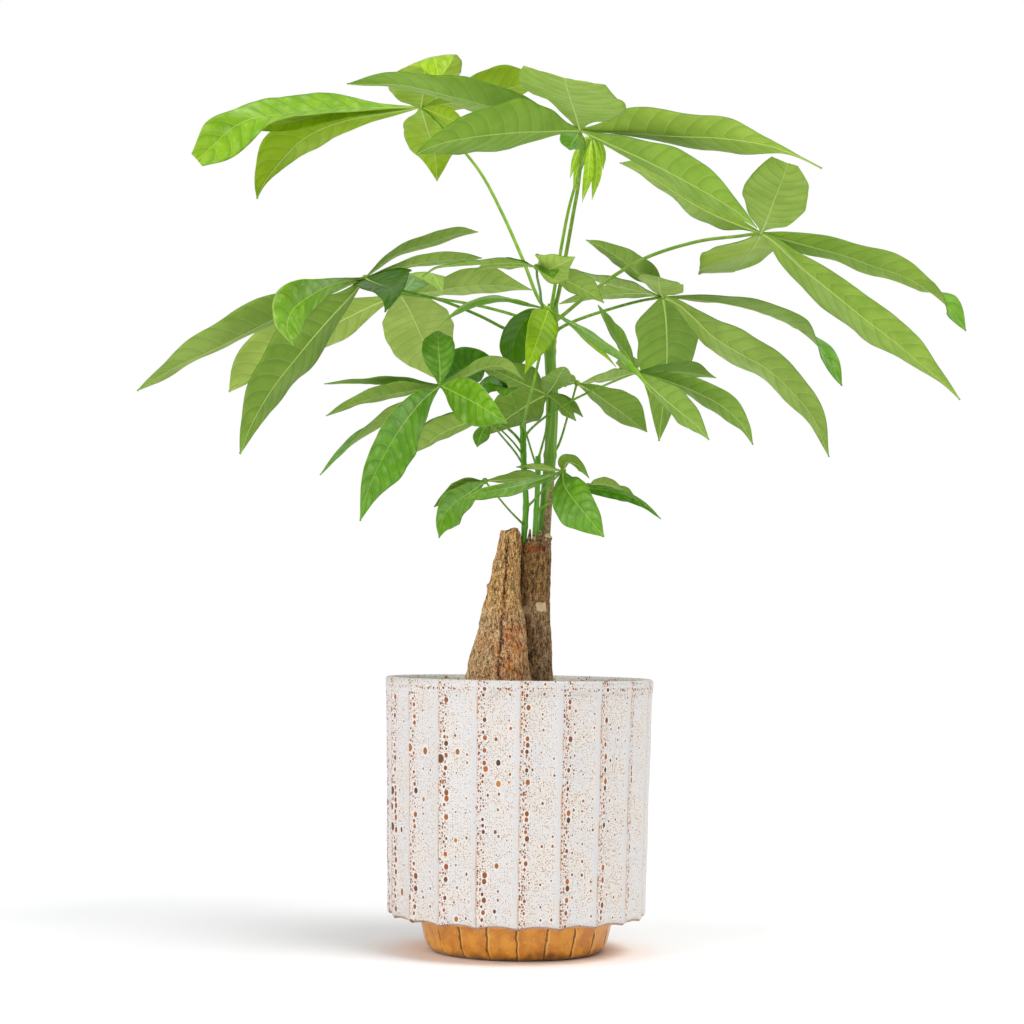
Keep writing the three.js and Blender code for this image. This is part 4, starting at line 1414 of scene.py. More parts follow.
TRUNKS = (
    Trunk(
        name="trunk_left_bark",
        node="trunk_left",
        slot=Slot.BARK_TAN,
        finish=TAN_BARK,
        stations=(
            (492, 760, -9, 36), (495, 712, -9, 35.5), (497, 682, -9, 33), (500.5, 650, -7, 27.5),
            (502.5, 625, -5.5, 23), (503, 600, -4, 18), (505.5, 578, -3, 14.8), (507.5, 558, -2, 12.5),
            (510, 540, -2, 10.2), (511, 529, -2, 8.8),
        ),
        phase=0.4,
        crest=lambda angle: 2.0 * MM * smooth(-0.4, 0.4, math.cos(angle)) - 1.2 * MM,
        rust=(
            Patch((503, 524), (625, 690), 10, 1.0), Patch((500, 514), (600, 640), 8, 0.4),
            Patch((494, 500), (640, 676), 4, 0.7), Patch((472, 486), (668, 690), 6, 0.5),
        ),
        bare=(
            Patch((465, 469), (666, 682), 3, 0.8), Patch((479, 482), (626, 636), 2, 0.7),
            Patch((497, 499), (552, 562), 1.5, 0.7),
        ),
        olive=(Patch((470, 530), (500, 612), 14, 0.6),),
        seam=((536, 508), (570, 506), (610, 503), (650, 500), (690, 497)),
        knobs=((489, 586, 1.6), (504, 532, 1.2)),
    ),
    Trunk(
        name="trunk_right_bark",
        node="trunk_right",
        slot=Slot.BARK_BROWN,
        finish=BROWN_BARK,
        stations=(
            (538, 760, 12, 18), (537, 712, 12, 17.6), (536, 682, 11, 16.8), (535, 650, 9.5, 16.4),
            (534.5, 620, 8, 16.6), (534, 600, 7, 16.2), (534.5, 575, 7, 16.4), (535, 558, 7, 16.8),
            (535.5, 541, 7, 16.6),
        ),
        phase=2.1,
        crest=lambda angle: 1.4 * MM * math.sin(3 * angle + 1.0) + 0.8 * MM * math.cos(angle),
        rust=(Patch((522, 546), (542, 552), 4, 1.3), Patch((530, 550), (596, 604), 5, 0.6)),
        bare=(Patch((523, 531), (606, 614), 2.2, 1.3), Patch((536, 547), (602, 611), 2.4, 1.2)),
        olive=(Patch((515, 555), (548, 600), 10, 0.7),),
        knobs=((548, 537, 2.2), (530, 531, 1.4)),
        stubs=(
            Stub((546, 545, -6), (548, 535.5, -10), 2.6 * MM, 0.95),
            Stub((529, 545, 0), (530, 529, -2), 1.7 * MM, 0.3),
            Stub((535, 545, -6), (534, 534, -8), 1.5 * MM, 0.5),
            Stub((540, 545, -2), (540, 531, -3), 1.9 * MM, 0.5),
            Stub((521, 546, 2), (520, 536, 2), 1.6 * MM, 0.4),
        ),
    ),
)


# ---------------------------------------------------------------- shoots
@dataclass(frozen=True)
class Shoot:
    """A green shoot that rises from the sawn trunks and carries the leaves."""

    name: str
    node: str
    radius: tuple[float, float]  # at the foot and at the top, in millimetres
    route: tuple[Point, ...]
    rind: Finish
    joints: tuple[float, ...] = ()  # where leaves leave it, as shares of its length
    bark: tuple[float, float] = (0.0, 0.0)  # how far bark climbs, and how strongly
    sides: int = 28
    rows: int = 150

    def build(self) -> list[Object]:
        """Bends a rod along the shoot, with a swelling at each joint and strands along it.

        Returns:
            The shoot.
        """
        bm = new_bmesh(("along", *RIND_LAYERS))
        strand, bark = bm.verts.layers.float["strand"], bm.verts.layers.float["bark"]
        line = Spline([GRID.point(place) for place in self.route])
        frames = [line.frame(i / self.rows) for i in range(self.rows + 1)]
        angles: dict[tuple[int, int], float] = {}

        def rind(along: float, angle: float) -> Vector:
            """Puts a corner of the rod on the rind.

            Args:
                along: Share of the rod's length.
                angle: Angle round the rod.

            Returns:
                The corner's point.
            """
            row = round(along * self.rows)
            point, side, face = frames[row]
            out = side * math.cos(angle) + face * math.sin(angle)
            radius = mix(self.radius[0], self.radius[1], along) * MM
            offs = [(along - joint) * line.length for joint in self.joints]
            radius *= 1 + 0.16 * sum(math.exp(-(off / (2.2 * MM)) ** 2) for off in offs)
            ripple = noise.noise(Vector((out.x * 2.4, out.y * 2.4, along * line.length * 60)))
            return point + out * radius * (1 + 0.04 * ripple)

        corners = add_rod(bm, self.sides, self.rows, rind)
        climb, strength = self.bark
        for corner in corners:
            point, _, _ = frames[round(corner[bm.verts.layers.float["along"]] * self.rows)]
            out = (corner.co - point).normalized()
            run = corner[bm.verts.layers.float["along"]] * line.length
            corner[strand] = 0.5 + 0.5 * noise.noise(Vector((out.x * 3.1, out.y * 3.1, run * 45)))
            ragged = run + 12 * MM * noise.noise(Vector((out.x * 2, out.y * 2, run * 30))) - 26 * MM * out.x
            share = smooth(climb * MM + 6 * MM, climb * MM - 6 * MM, ragged) if climb else 0.0
            corner[bark] = strength * share
        return [make_piece(bm, self.name, self.node, (self.rind,))]


SHOOT_RIND = GreenRind("shoot_rind", "#5E8E2A", "#93AE55", "#9A8558", "#5F4E30", 0.4)
SUCKER_RIND = GreenRind("sucker_rind", "#4C8E1E", "#78AE38")

SHOOTS = (
    Shoot(
        name="stem_main_rind",
        node="stem_main",
        radius=(3.9, 3.2),
        route=(
            (543, 551, 9), (544, 535, 8), (546.5, 500, 5), (550.5, 450, 3), (552.5, 400, 2),
            (550, 352, 1), (553, 304, 0),
        ),
        rind=SHOOT_RIND,
        joints=(0.39, 0.81, 0.85, 0.885, 0.93, 0.965),
        bark=(26, 1.0),
    ),
    Shoot(
        name="stem_left_rind",
        node="stem_left",
        radius=(1.8, 1.7),
        route=((524, 552, 5), (524, 538, 3), (526, 505, 1), (524, 470, 0), (523, 430, 0), (523, 422, 0)),
        rind=SUCKER_RIND,
        joints=(0.2, 0.34, 0.66, 0.75, 0.82, 0.88, 0.97),
        sides=18,
    ),
    Shoot(
        name="stem_middle_rind",
        node="stem_middle",
        radius=(1.7, 1.5),
        route=((535, 552, 1), (535, 538, 0), (537, 500, -2), (538, 468, -3), (538, 456, -3)),
        rind=SUCKER_RIND,
        joints=(0.43, 0.83, 0.95),
        sides=18,
    ),
)


# ---------------------------------------------------------------- leaves
# Half widths of a leaflet at nine even stations from the hub to the tip, in hundredths of the widest.
LANCE: Profile = (4, 28, 62, 87.5, 99.5, 95, 73.7, 37, 0)
LANCE_LONG: Profile = (4, 28, 62, 87.5, 99.5, 97, 88, 75, 0)  # wide almost to the tip
LANCE_EARLY: Profile = (4, 50, 90, 100, 95, 80, 55, 28, 0)  # widest near the hub


@dataclass(frozen=True)
class Blade:
    """One leaflet: its full width in millimetres, its roll and the points of its midrib.

    The roll is in degrees about the midrib from square to the line of sight, as one value or as
    several from hub to tip; positive brings the left margin, seen along the midrib, nearer.
    """

    wide: float
    turn: float | Profile
    rib: tuple[Point, ...]
    side: Point | None = None  # the blade's own cross direction, in place of one square to the sight
    face: Face = Face.UNDER
    full: float = 1.05  # below this the outline is fuller
    tone: float | Profile = 0.0  # above 0 paler and yellower, below 0 darker, partly the leaflet's own colour and partly painted light and shade; or from hub to tip
    left: Profile = LANCE
    right: Profile = LANCE
    cup: float = 0.2  # rise of the margins over the midrib, per half width
    wave: float = 0.08

    def sheet(self, hub: Point) -> BladeSheet:
        """Lays the blade out from its leaf's hub."""
        return BladeSheet(self, Spline([GRID.point(place) for place in (hub, *self.rib)]))


class BladeSheet:
    """A blade laid out in space, which gives the point at any place on it."""

    ROW = 1.35 * MM  # length of a row of faces
    FEWEST, MOST = 18, 110  # rows
    COLUMNS = ((24, 16), (12, 12), (0, 8))  # wider than this in millimetres: faces across

    def __init__(self, blade: Blade, line: Spline) -> None:
        """Works out how the blade stands to the eye.

        Args:
            blade: The blade's sizes.
            line: The curve of its midrib.
        """
        self.blade = blade
        self.line = line
        turns = blade.turn if isinstance(blade.turn, tuple) else (blade.turn, blade.turn)
        self.turns = [math.radians(turn) for turn in turns]
        self.tones_and_shades = blade.tone if isinstance(blade.tone, tuple) else (blade.tone, blade.tone)
        self.veins = round(6 + line.length / (20 * MM))  # six, and one more for each 20 mm
        point, _, normal = self.frame(0.45)
        seen = 1 if normal.dot(point - Vector(GRID.eye)) < 0 else -1
        # the sheet's normal times this points under
        self.under = seen if blade.face is Face.UNDER else -seen

    def frame(self, along: float) -> Frame:
        """Gives the midrib's point, the cross direction and the sheet's normal.

        Args:
            along: Share of the way from the hub to the tip.

        Returns:
            The point and the two directions.
        """
        point = self.line.point(along)
        tangent = self.line.tangent(along)
        if self.blade.side:
            side = Vector(self.blade.side)
        else:
            side = tangent.cross(point - Vector(GRID.eye))
        side = (side - tangent * side.dot(tangent)).normalized()
        side.rotate(Quaternion(tangent, steps_of(self.turns, along)))
        return point, side, side.cross(tangent)

    def half(self, along: float, column: float) -> float:
        """Gives the half width on one side of the midrib.

        Args:
            along: Share of the way from the hub to the tip.
            column: Above 0 on the left of the midrib.

        Returns:
            The half width in metres.
        """
        profile = self.blade.left if column > 0 else self.blade.right
        share = max(curve_of(profile, along) / 100, 0.0) ** (self.blade.full / 1.05)
        spot = Vector((7.5 * along, self.blade.wide + 3.7 * (column > 0), self.line.length * 90))
        uneven = 1 + 0.07 * noise.noise(spot)
        return 0.5 * self.blade.wide * MM * max(share * uneven, 0.03)

    def vein(self, along: float, column: float) -> float:
        """Counts side veins; they leave the midrib and arch forward.

        Args:
            along: Share of the way from the hub to the tip.
            column: Place across, -1 and 1 at the margins.

        Returns:
            The count, a whole number on each vein.
        """
        slant = 0.5 * self.blade.wide * MM / self.line.length
        reach = abs(column)
        return self.veins * (along - slant * (0.42 * reach + 0.3 * reach**3)) + 0.35 * (column > 0)

    def point(self, frame: Frame, along: float, column: float) -> Vector:
        """Gives the point of the sheet at a share along and a column from -1 to 1.

        Args:
            frame: The frame at that share along.
            along: Share of the way from the hub to the tip.
            column: Place across, -1 and 1 at the margins.

        Returns:
            The point, with the dip of the midrib, the margin's wave and the swell between veins.
        """
        point, side, normal = frame
        half = self.half(along, column)
        reach = abs(column)
        wave = self.blade.wave * math.sin(9 * along + 1.9 * column) * reach
        ruffle = 0.035 * math.sin(23 * along + 2.6 * column + self.blade.wide) * reach**3
        lift = half * (self.blade.cup * (reach - 0.6) + wave + ruffle)
        swell = abs(math.sin(math.pi * self.vein(along, column))) ** 0.7 - 0.6
        swell *= smooth(0.0, 0.2, reach) * (1 - 0.7 * smooth(0.7, 1.0, reach)) * smooth(0.0, 0.12, along)
        # the swell in millimetres, which the upper face shows more
        tall = 0.36 if self.blade.face is Face.UNDER else 0.7
        lift += tall * MM * min(1.0, half / (14 * MM)) * swell
        return point + side * (column * half) - normal * (self.under * lift)

    def add_to(self, bm: BMesh) -> None:
        """Adds the blade to its leaf's mesh as one sheet.

        Args:
            bm: The leaf's mesh, with the layers that the tissue reads.
        """
        blade = self.blade
        rows = max(self.FEWEST, min(self.MOST, round(self.line.length / self.ROW)))
        columns = next(count for wide, count in self.COLUMNS if blade.wide > wide)
        made = bmesh.ops.create_grid(bm, x_segments=columns, y_segments=rows, size=0.5)
        frames = [self.frame(i / rows) for i in range(rows + 1)]
        vein, reach, long, across, tone = (bm.verts.layers.float[name] for name in BLADE_LAYERS)
        for corner in made["verts"]:
            column = 2 * corner.co.x
            along = corner.co.y + 0.5
            corner[vein] = self.vein(along, column)
            corner[across] = column
            corner[long] = along
            corner[reach] = column * self.half(along, column)
            corner[tone] = steps_of(self.tones_and_shades, along)
            corner.co = self.point(frames[round(along * rows)], along, column)
        for face in dict.fromkeys(face for corner in made["verts"] for face in corner.link_faces):
            face.smooth = True
            face.material_index = 0 if self.under > 0 else 1


@dataclass(frozen=True)
class Leaf:
    """A hand-shaped leaf: a stalk that ends in a hub, and blades that fan out from the hub."""

    name: str
    stalk_mm: tuple[float, float]  # the stalk's radius where it leaves the shoot, and at the hub
    stalk: tuple[Point, ...]
    blades: tuple[Blade, ...]
    finish: LeafFinish = LeafFinish.GREEN
    hub_radius: float = 1.9 * MM
    sides: int = 14  # round the stalk
    rows: int = 60  # along it
    rib_sides: int = 8
    rib_mm: tuple[float, float] = (0.16, 0.7)  # the midrib's radius on the narrowest and widest blades
    thickness: float = 0.4 * MM

    def blades_piece(self, sheets: Sequence[BladeSheet]) -> Object:
        """Makes the blades as sheets with two faces of different tissue.

        Args:
            sheets: The leaf's blades, laid out.

        Returns:
            The blades.
        """
        bm = new_bmesh(BLADE_LAYERS)
        for sheet in sheets:
            sheet.add_to(bm)
        piece = make_piece(bm, self.name + "_blades", self.name, self.finish.finishes)
        solid = piece.modifiers.new("thickness", "SOLIDIFY")
        solid.thickness = self.thickness
        solid.offset = 0.0
        solid.material_offset = 1
        return piece

    def stalk_piece(self, sheets: Sequence[BladeSheet]) -> Object:
        """Makes the stalk, the hub and the midribs that run out under the blades.

        Args:
            sheets: The leaf's blades, laid out.

        Returns:
            The stalk with its hub and midribs.
        """
        bm = new_bmesh(("along", *RIND_LAYERS))
        strand = bm.verts.layers.float["strand"]
        line = Spline([GRID.point(place) for place in self.stalk])
        thick, thin = (radius * MM for radius in self.stalk_mm)
        frames = [line.frame(i / self.rows) for i in range(self.rows + 1)]

        def stalk(along: float, angle: float) -> Vector:
            """Puts a corner of the rod on the stalk, which swells at both ends.

            Args:
                along: Share of the rod's length.
                angle: Angle round the rod.

            Returns:
                The corner's point.
            """
            point, side, face = frames[round(along * self.rows)]
            radius = mix(thick, thin, along)
            radius *= 1 + 0.45 * math.exp(-along * line.length / (3 * MM))
            radius *= 1 + 0.5 * math.exp(-(1 - along) * line.length / (3 * MM))
            return point + (side * math.cos(angle) + face * math.sin(angle)) * radius

        for corner in add_rod(bm, self.sides, self.rows, stalk):
            corner[strand] = 0.5 + 0.5 * noise.noise(corner.co * 420)
        made = bmesh.ops.create_icosphere(bm, subdivisions=3, radius=self.hub_radius)
        bmesh.ops.translate(bm, verts=made["verts"], vec=line.point(1.0))
        for face in dict.fromkeys(face for corner in made["verts"] for face in corner.link_faces):
            face.smooth = True
        for corner in made["verts"]:
            corner[strand] = 0.9
        for sheet in sheets:
            self.add_midrib(bm, sheet)
        return make_piece(bm, self.name + "_stalk", self.name, (self.finish.rind, PALE_RIB))

    def add_midrib(self, bm: BMesh, sheet: BladeSheet) -> None:
        """Adds a blade's midrib as a tapering cord under its middle.

        Args:
            bm: The stalk's mesh.
            sheet: The blade.
        """
        rows = max(12, round(sheet.line.length / (3 * MM)))
        frames = [sheet.frame(i / rows) for i in range(rows + 1)]
        thick = mix(*self.rib_mm, smooth(3, 40, sheet.blade.wide)) * MM

        def rib(along: float, angle: float) -> Vector:
            """Puts a corner of the rod on the midrib.

            Args:
                along: Share of the rod's length.
                angle: Angle round the rod.

            Returns:
                The corner's point.
            """
            frame = frames[round(along * rows)]
            flare = 1 + 0.5 * math.exp(-along * sheet.line.length / (3 * MM))
            radius = thick * mix(1.0, 0.22, along**0.75) * flare
            centre = sheet.point(frame, along, 0.0) + frame[2] * (sheet.under * 0.12 * MM)
            return centre + (frame[1] * math.cos(angle) + frame[2] * math.sin(angle)) * radius

        corners = add_rod(bm, self.rib_sides, rows, rib, 1)
        for corner in corners:
            corner[bm.verts.layers.float["strand"]] = 0.7

    def build(self) -> list[Object]:
        """Makes the leaf.

        Returns:
            Its blades and its stalk.
        """
        sheets = [blade.sheet(self.stalk[-1]) for blade in self.blades]
        return [self.blades_piece(sheets), self.stalk_piece(sheets)]


PALE_RIB = GreenRind("pale_midrib", "#A2C250", "#C6DA7E", "#B7C98A", "#A9C66B", 0.0, 0.5)


# A blade's paler or darker setting is partly the leaflet's own colour and partly painted light and shade.
LEAVES: tuple[Leaf, ...] = (
    Leaf(
        name="leaf_crown_front", finish=LeafFinish.CROWN, stalk_mm=(1.2, 1.0),
        stalk=((555, 306, 0), (558, 296, -5), (565, 260, -20), (573, 215, -38), (579, 180, -52),
            (581, 150, -64), (580, 130, -70)),
        blades=(
            Blade(41, 53, ((600, 131.5, -74), (640, 132, -86), (672, 133.5, -94), (718, 135, -104),
                (756, 141, -112), (786, 150.5, -118), (822, 168.5, -122)),
                left=(4, 42, 107, 100, 78, 64, 27, 6, 0), right=(4, 7, 32, 66, 83, 78, 44, 10, 0),
                tone=0.2),
            Blade(38, 60, ((604, 140, -76), (648, 158, -88), (698, 184, -102), (737, 210, -114),
                (757, 228, -120)), tone=-0.2),
            Blade(58, 0, ((576, 114, -100), (572, 101, -132), (568, 88, -160), (565, 77, -180)),
                side=(1, 0, -0.24), left=(4, 20, 50, 77, 93, 101, 100, 91, 75),
                right=(4, 17, 31, 49, 72, 93, 96, 90, 79), cup=0.05, wave=0.03),
            Blade(42, (-64, -70), ((545, 118, -76), (500, 105, -84), (450, 92, -88), (400, 82, -88),
                (347, 84, -84)), right=(4, 28, 62, 90, 95, 86, 72, 45, 0), tone=(0, 0, -0.2, -0.6)),
            Blade(43, -52, ((550, 129, -86), (510, 129, -106), (465, 135, -122), (435, 144, -132),
                (416, 154, -138)), tone=-0.35),
            Blade(17, 0, ((577, 136, -64), (572, 143, -56), (570, 150, -48)), face=Face.UPPER),
        ),
    ),
    Leaf(
        name="leaf_crown_young", finish=LeafFinish.YOUNG, stalk_mm=(1.1, 0.8),
        stalk=((551, 309, -1), (553, 298, -8), (560, 255, -14), (569, 208, -22), (577, 180, -28),
            (586, 155, -36), (592, 138, -40)),
        blades=(
            Blade(4.6, 20, ((586, 139, -34), (577, 155, -30), (570, 178, -30))),
            Blade(5, -10, ((587, 142, -28), (579, 162, -22), (573, 189, -20))),
            Blade(5.6, 0, ((590, 150, -44), (588, 175, -46), (582, 203, -46))),
            Blade(5.6, 10, ((595, 145, -42), (597, 170, -42), (592, 200, -40))),
            Blade(4.4, 20, ((598, 141, -36), (602, 152, -34), (603, 170, -32))),
            Blade(4.4, 0, ((594, 143, -32), (595, 160, -28), (593, 186, -26))),
        ),
    ),
    Leaf(
        name="leaf_crown_right", finish=LeafFinish.CROWN, stalk_mm=(1.15, 1.0),
        stalk=((553, 322, 0), (562, 316, 5), (585, 297, 9), (620, 272, 12), (650, 256, 14), (700, 241, 17),
            (740, 236, 19), (761, 233, 20)),
        blades=(
            Blade(38, 0, ((766, 222, -14), (772, 206, -38), (778, 190, -60), (784, 175, -78),
                (788, 163, -90)), side=(1, 0, -0.29), left=(4, 13, 36, 68, 95, 100, 90, 76, 30),
                right=(4, 15, 40, 70, 90, 98, 98, 83, 52), cup=0.05, tone=0.1),
            Blade(35, (50, 50, 52, 54, 55, 56, 62, 118, 125), ((790, 240, 22), (818, 246.6, 26),
                (846, 254, 30), (875, 264, 34), (902, 273.5, 38), (928, 288.5, 42), (950, 306, 46),
                (966, 331, 48)), left=(4, 42, 73, 70, 90, 68, 50, 70, 0),
                right=(4, 42, 73, 70, 90, 68, 50, 70, 0), tone=0.15),
            Blade(44, 57, ((773, 239, 18), (804, 264, 12), (836, 288, 4), (864, 312, -4), (896, 339, -10),
                (919, 360, -14), (943, 381, -18), (960, 400, -20)), left=(4, 20, 42, 60, 60, 68, 62, 30, 0),
                right=(4, 80, 130, 155, 130, 90, 50, 20, 0)),
            Blade(50, 0, ((756, 241, 40), (749, 251, 62), (742, 261, 86), (734, 271, 108)),
                side=(1, 0, 0.24), left=(5, 30, 50, 64, 76, 82, 80, 55, 10),
                right=(10, 62, 105, 120, 124, 120, 115, 108, 95), cup=0.05, tone=0.35),
            Blade(40, -60, ((735, 222, 30), (700, 204, 46), (665, 182, 60), (640, 169, 70), (620, 163, 78)),
                tone=0.2),
        ),
    ),
    Leaf(
        name="leaf_crown_left", finish=LeafFinish.BRIGHT, stalk_mm=(1.1, 0.85),
        stalk=((552, 313, 0), (541, 303, 4), (523, 260, 18), (503, 215, 34), (480, 172, 50), (452, 138, 62),
            (421, 107, 70)),
        blades=(
            Blade(34, (70, 70, 70, 70, 70, 68, 50, 12, 0, 0), ((385, 107, 66), (345, 105.5, 60),
                (305, 108, 50), (272, 113, 43), (248, 119, 38), (229, 130, 34), (214, 145, 32),
                (197, 160, 34)), face=Face.UPPER, left=(4, 25, 50, 85, 90, 75, 80, 85, 30),
                right=(4, 25, 60, 95, 115, 90, 55, 75, 30), tone=(0, 0, 0, 0, 0, 0, 0.3)),
            Blade(38, -46, ((388, 112, 76), (350, 118, 84), (318, 128, 90), (297, 140, 94), (283, 154, 97),
                (271, 170, 100), (261, 187, 102), (257, 199, 102)),
                left=(4, 20, 35, 55, 86, 100, 77, 25, 0), right=(4, 20, 35, 55, 80, 100, 110, 60, 0)),
            Blade(36, 0, ((426, 122, 98), (432, 140, 126), (436, 160, 148), (437, 181, 160)),
                side=(1, 0, 0)),
            # painted light: this blade pales strongly towards its curled tip, which lies in shade
            Blade(46, 0, ((423, 96, 46), (424, 81, 18), (427, 67, -6), (434, 59, -26), (439, 78, -38)),
                side=(1, 0, 0.26), cup=-0.12, wave=0.03, full=0.8, tone=(0, 0, 0.3, 1.0)),
            Blade(40, 56, ((450, 101, 78), (485, 91, 84), (520, 83, 88), (552, 80, 88))),
            Blade(14, 40, ((438, 113, 62), (454, 120, 54), (470, 127, 48))),
            Blade(15, 58, ((385, 109, 72), (345, 112, 70), (310, 119, 66), (280, 125, 62), (252, 124, 58),
                (240, 118, 54)), left=LANCE_LONG, right=LANCE_LONG, tone=-0.2),
        ),
    ),
    Leaf(
        name="leaf_inner_front", stalk_mm=(0.9, 0.7),
        stalk=((549, 318, -1), (543, 308, -8), (540, 290, -40), (537, 275, -76), (537, 267, -86)),
        blades=(
            Blade(18, -72, ((520, 265, -90), (500, 265, -92), (485, 267, -92), (472, 273, -92))),
            Blade(14, -80, ((515, 262, -98), (480, 263, -108), (455, 265, -114), (436, 268, -118),
                (421, 278, -122))),
            Blade(20, 30, ((546, 269, -100), (559, 264, -114), (575, 257, -126)), left=LANCE_EARLY,
                right=(4, 40, 90, 120, 120, 90, 55, 28, 0), tone=0.3),
            Blade(14, 0, ((545, 266, -98), (550, 271, -110), (553, 279, -118)), face=Face.UPPER,
                side=(1, 0, 0)),
            Blade(20, 50, ((555, 273, -84), (575, 283, -82), (592, 293, -80), (604, 303, -78))),
        ),
    ),
    Leaf(
        name="leaf_right_back", stalk_mm=(1.05, 0.85),
        stalk=((550, 342, 1), (558, 330, 8), (575, 321, 20), (607, 310, 42), (640, 301, 64),
            (663, 297, 80)),
        blades=(
            Blade(34, (73, 73, 74, 76, 80, 112, 126), ((690, 298, 88), (725, 301, 94), (765, 310, 100),
                (799, 326, 104), (825, 351, 106), (842, 386, 106)), left=LANCE_LONG,
                right=(4, 28, 62, 87.5, 99.5, 100, 85, 60, 0)),
            Blade(42, 57, ((677, 302, 82), (697, 317, 78), (714, 332, 74), (742, 350, 71), (770, 367, 68),
                (794, 390, 64), (815, 417, 60), (829, 457, 56)), left=(4, 22, 58, 95, 85, 68, 62, 37, 0),
                right=(4, 60, 110, 115, 100, 80, 65, 37, 0), tone=0.1),
            Blade(43, 0, ((665, 318, 94), (666, 350, 112), (664, 390, 126), (661, 418, 134),
                (659, 441, 138)), side=(1, 0.35, 0), left=(10, 62, 100, 100, 90, 72, 50, 27, 0),
                right=(10, 77, 89, 86, 80, 65, 45, 24, 0), tone=-0.4),
            Blade(22, -76, ((640, 290, 74), (610, 282, 64), (580, 274, 54), (555, 267, 48))),
            Blade(20, -62, ((640, 292, 92), (612, 293, 100), (584, 297, 106), (559, 304, 110))),
            Blade(26, -56, ((650, 281, 64), (624, 259, 50), (602, 246, 42), (586, 240, 38))),
            Blade(29, 0, ((661, 290, 58), (660, 283, 34), (659, 277, 10)), side=(1, 0, -0.25),
                left=LANCE_LONG, right=LANCE_LONG, tone=0.2),
        ),
    ),
    Leaf(
        name="leaf_right_front", stalk_mm=(0.75, 0.6),
        stalk=((524, 438, 0), (531, 429, -12), (548, 415, -34), (575, 399, -50), (610, 383, -68),
            (637, 372, -80)),
        blades=(
            Blade(16, -68, ((620, 375, -88), (600, 378, -100), (582, 383, -110))),
            Blade(12, 20, ((630, 366, -66), (622, 362, -56), (616, 363, -48))),
            Blade(20, 62, ((660, 370, -74), (690, 371, -66), (716, 378, -60)), tone=-0.4),
            Blade(27, 56, ((662, 378, -82), (695, 389, -86), (726, 406, -90), (743, 424, -92),
                (753, 445, -92)), left=(4, 28, 60, 72, 75, 72, 62, 35, 0), tone=-0.3),
            Blade(25, 56, ((655, 388, -90), (679, 408, -100), (698, 425, -106), (709, 440, -110)),
                tone=-0.2),
            Blade(18, -66, ((628, 354, -72), (613, 331, -64), (598, 305, -58)), tone=-0.4),
        ),
    ),
    Leaf(
        name="leaf_right_small", stalk_mm=(0.75, 0.6),
        stalk=((552, 456, 3), (559, 444, 8), (568, 415, 12), (577, 383, 16)),
        blades=(
            Blade(27, 52, ((597, 393, 20), (622, 410, 24), (647, 432, 26)),
                left=(4, 30, 65, 95, 110, 112, 95, 55, 0), tone=-0.35),
            Blade(10, -40, ((568, 381, 12), (560, 384, 9))),
        ),
    ),
    Leaf(
        name="leaf_inner_low", stalk_mm=(0.7, 0.55),
        stalk=((538, 460, -3), (542, 446, -7), (546, 430, -10), (547, 410, -14), (547, 394, -22)),
        blades=(
            Blade(26, -48, ((530, 385, -31), (512, 376, -39), (496, 370, -46), (480, 366, -50)), tone=-0.5),
            Blade(29, -30, ((532, 401, -14), (517, 410, -4), (505, 419, 4), (494, 432, 10)), full=0.85,
                tone=-0.6),
            Blade(16, 0, ((553, 385, -42), (558, 376, -66), (564, 367, -84)), side=(1, 0, 0), full=0.6,
                tone=-0.4),
            Blade(11, 40, ((557, 401, -32), (567, 410, -38), (576, 421, -42)), tone=-0.6),
            Blade(9, 50, ((560, 398, -26), (572, 406, -26), (583, 417, -26)), tone=-0.6),
        ),
    ),
    Leaf(
        name="leaf_bright_young", finish=LeafFinish.YOUNG, stalk_mm=(0.9, 0.75),
        stalk=((523, 426, -1), (526, 412, -18), (531, 393, -44), (536, 372, -56), (541, 350, -56),
            (545, 328, -48), (548, 309, -40)),
        blades=(
            Blade(13, -72, ((530, 305, -50), (510, 300, -62), (490, 299, -72), (468, 305, -80),
                (452, 315, -86), (438, 327, -90)), face=Face.UPPER),
            Blade(20, -20, ((546, 318, -52), (541, 332, -64), (534, 350, -72), (525, 373, -76)),
                face=Face.UPPER, left=LANCE_EARLY, right=LANCE_EARLY, tone=0.9),
            Blade(11, 64, ((565, 320, -52), (590, 335, -70), (625, 360, -100), (640, 376, -110),
                (652, 394, -114)), face=Face.UPPER),
            Blade(8, 65, ((568, 322, -42), (590, 342, -40), (605, 355, -38), (616, 367, -36))),
            Blade(22, -34, ((532, 316, -34), (521, 328, -30), (514, 346, -28), (515, 368, -30)),
                face=Face.UPPER, left=LANCE_LONG, right=LANCE_LONG, tone=-1.0),
        ),
    ),
    Leaf(
        name="leaf_left_front", stalk_mm=(1.0, 0.8),
        stalk=((550, 350, 1), (540, 341, -6), (508, 330, -14), (480, 316, -24), (440, 300, -38),
            (400, 290, -50), (372, 281, -58), (365, 278, -60)),
        blades=(
            Blade(38, -64, ((335, 289, -60), (300, 303, -62), (268, 317.5, -64), (246, 328, -65),
                (215, 344, -66), (184, 359.5, -68), (158, 376, -69), (137, 391, -70)),
                left=(4, 25, 50, 64, 72, 72, 64, 50, 0), right=(4, 30, 70, 100, 115, 115, 90, 38, 0),
                tone=0.2),
            Blade(34, -42, ((335, 284, -84), (311, 297, -104), (294, 312, -120), (289, 328, -134),
                (293, 345, -144)), face=Face.UPPER, left=(4, 10, 25, 40, 50, 60, 60, 40, 0),
                right=(4, 10, 22, 40, 62, 95, 100, 70, 0), tone=0.6),
            Blade(43, -50, ((347, 298, -68), (321, 324, -78), (294, 355, -88), (267, 391, -96),
                (249, 427, -102), (240, 454, -106)), tone=-0.25, left=(4, 28, 60, 82, 90, 86, 68, 34, 0)),
            Blade(15, 62, ((374, 270, -56), (388, 258, -52), (408, 248, -48), (432, 241, -44),
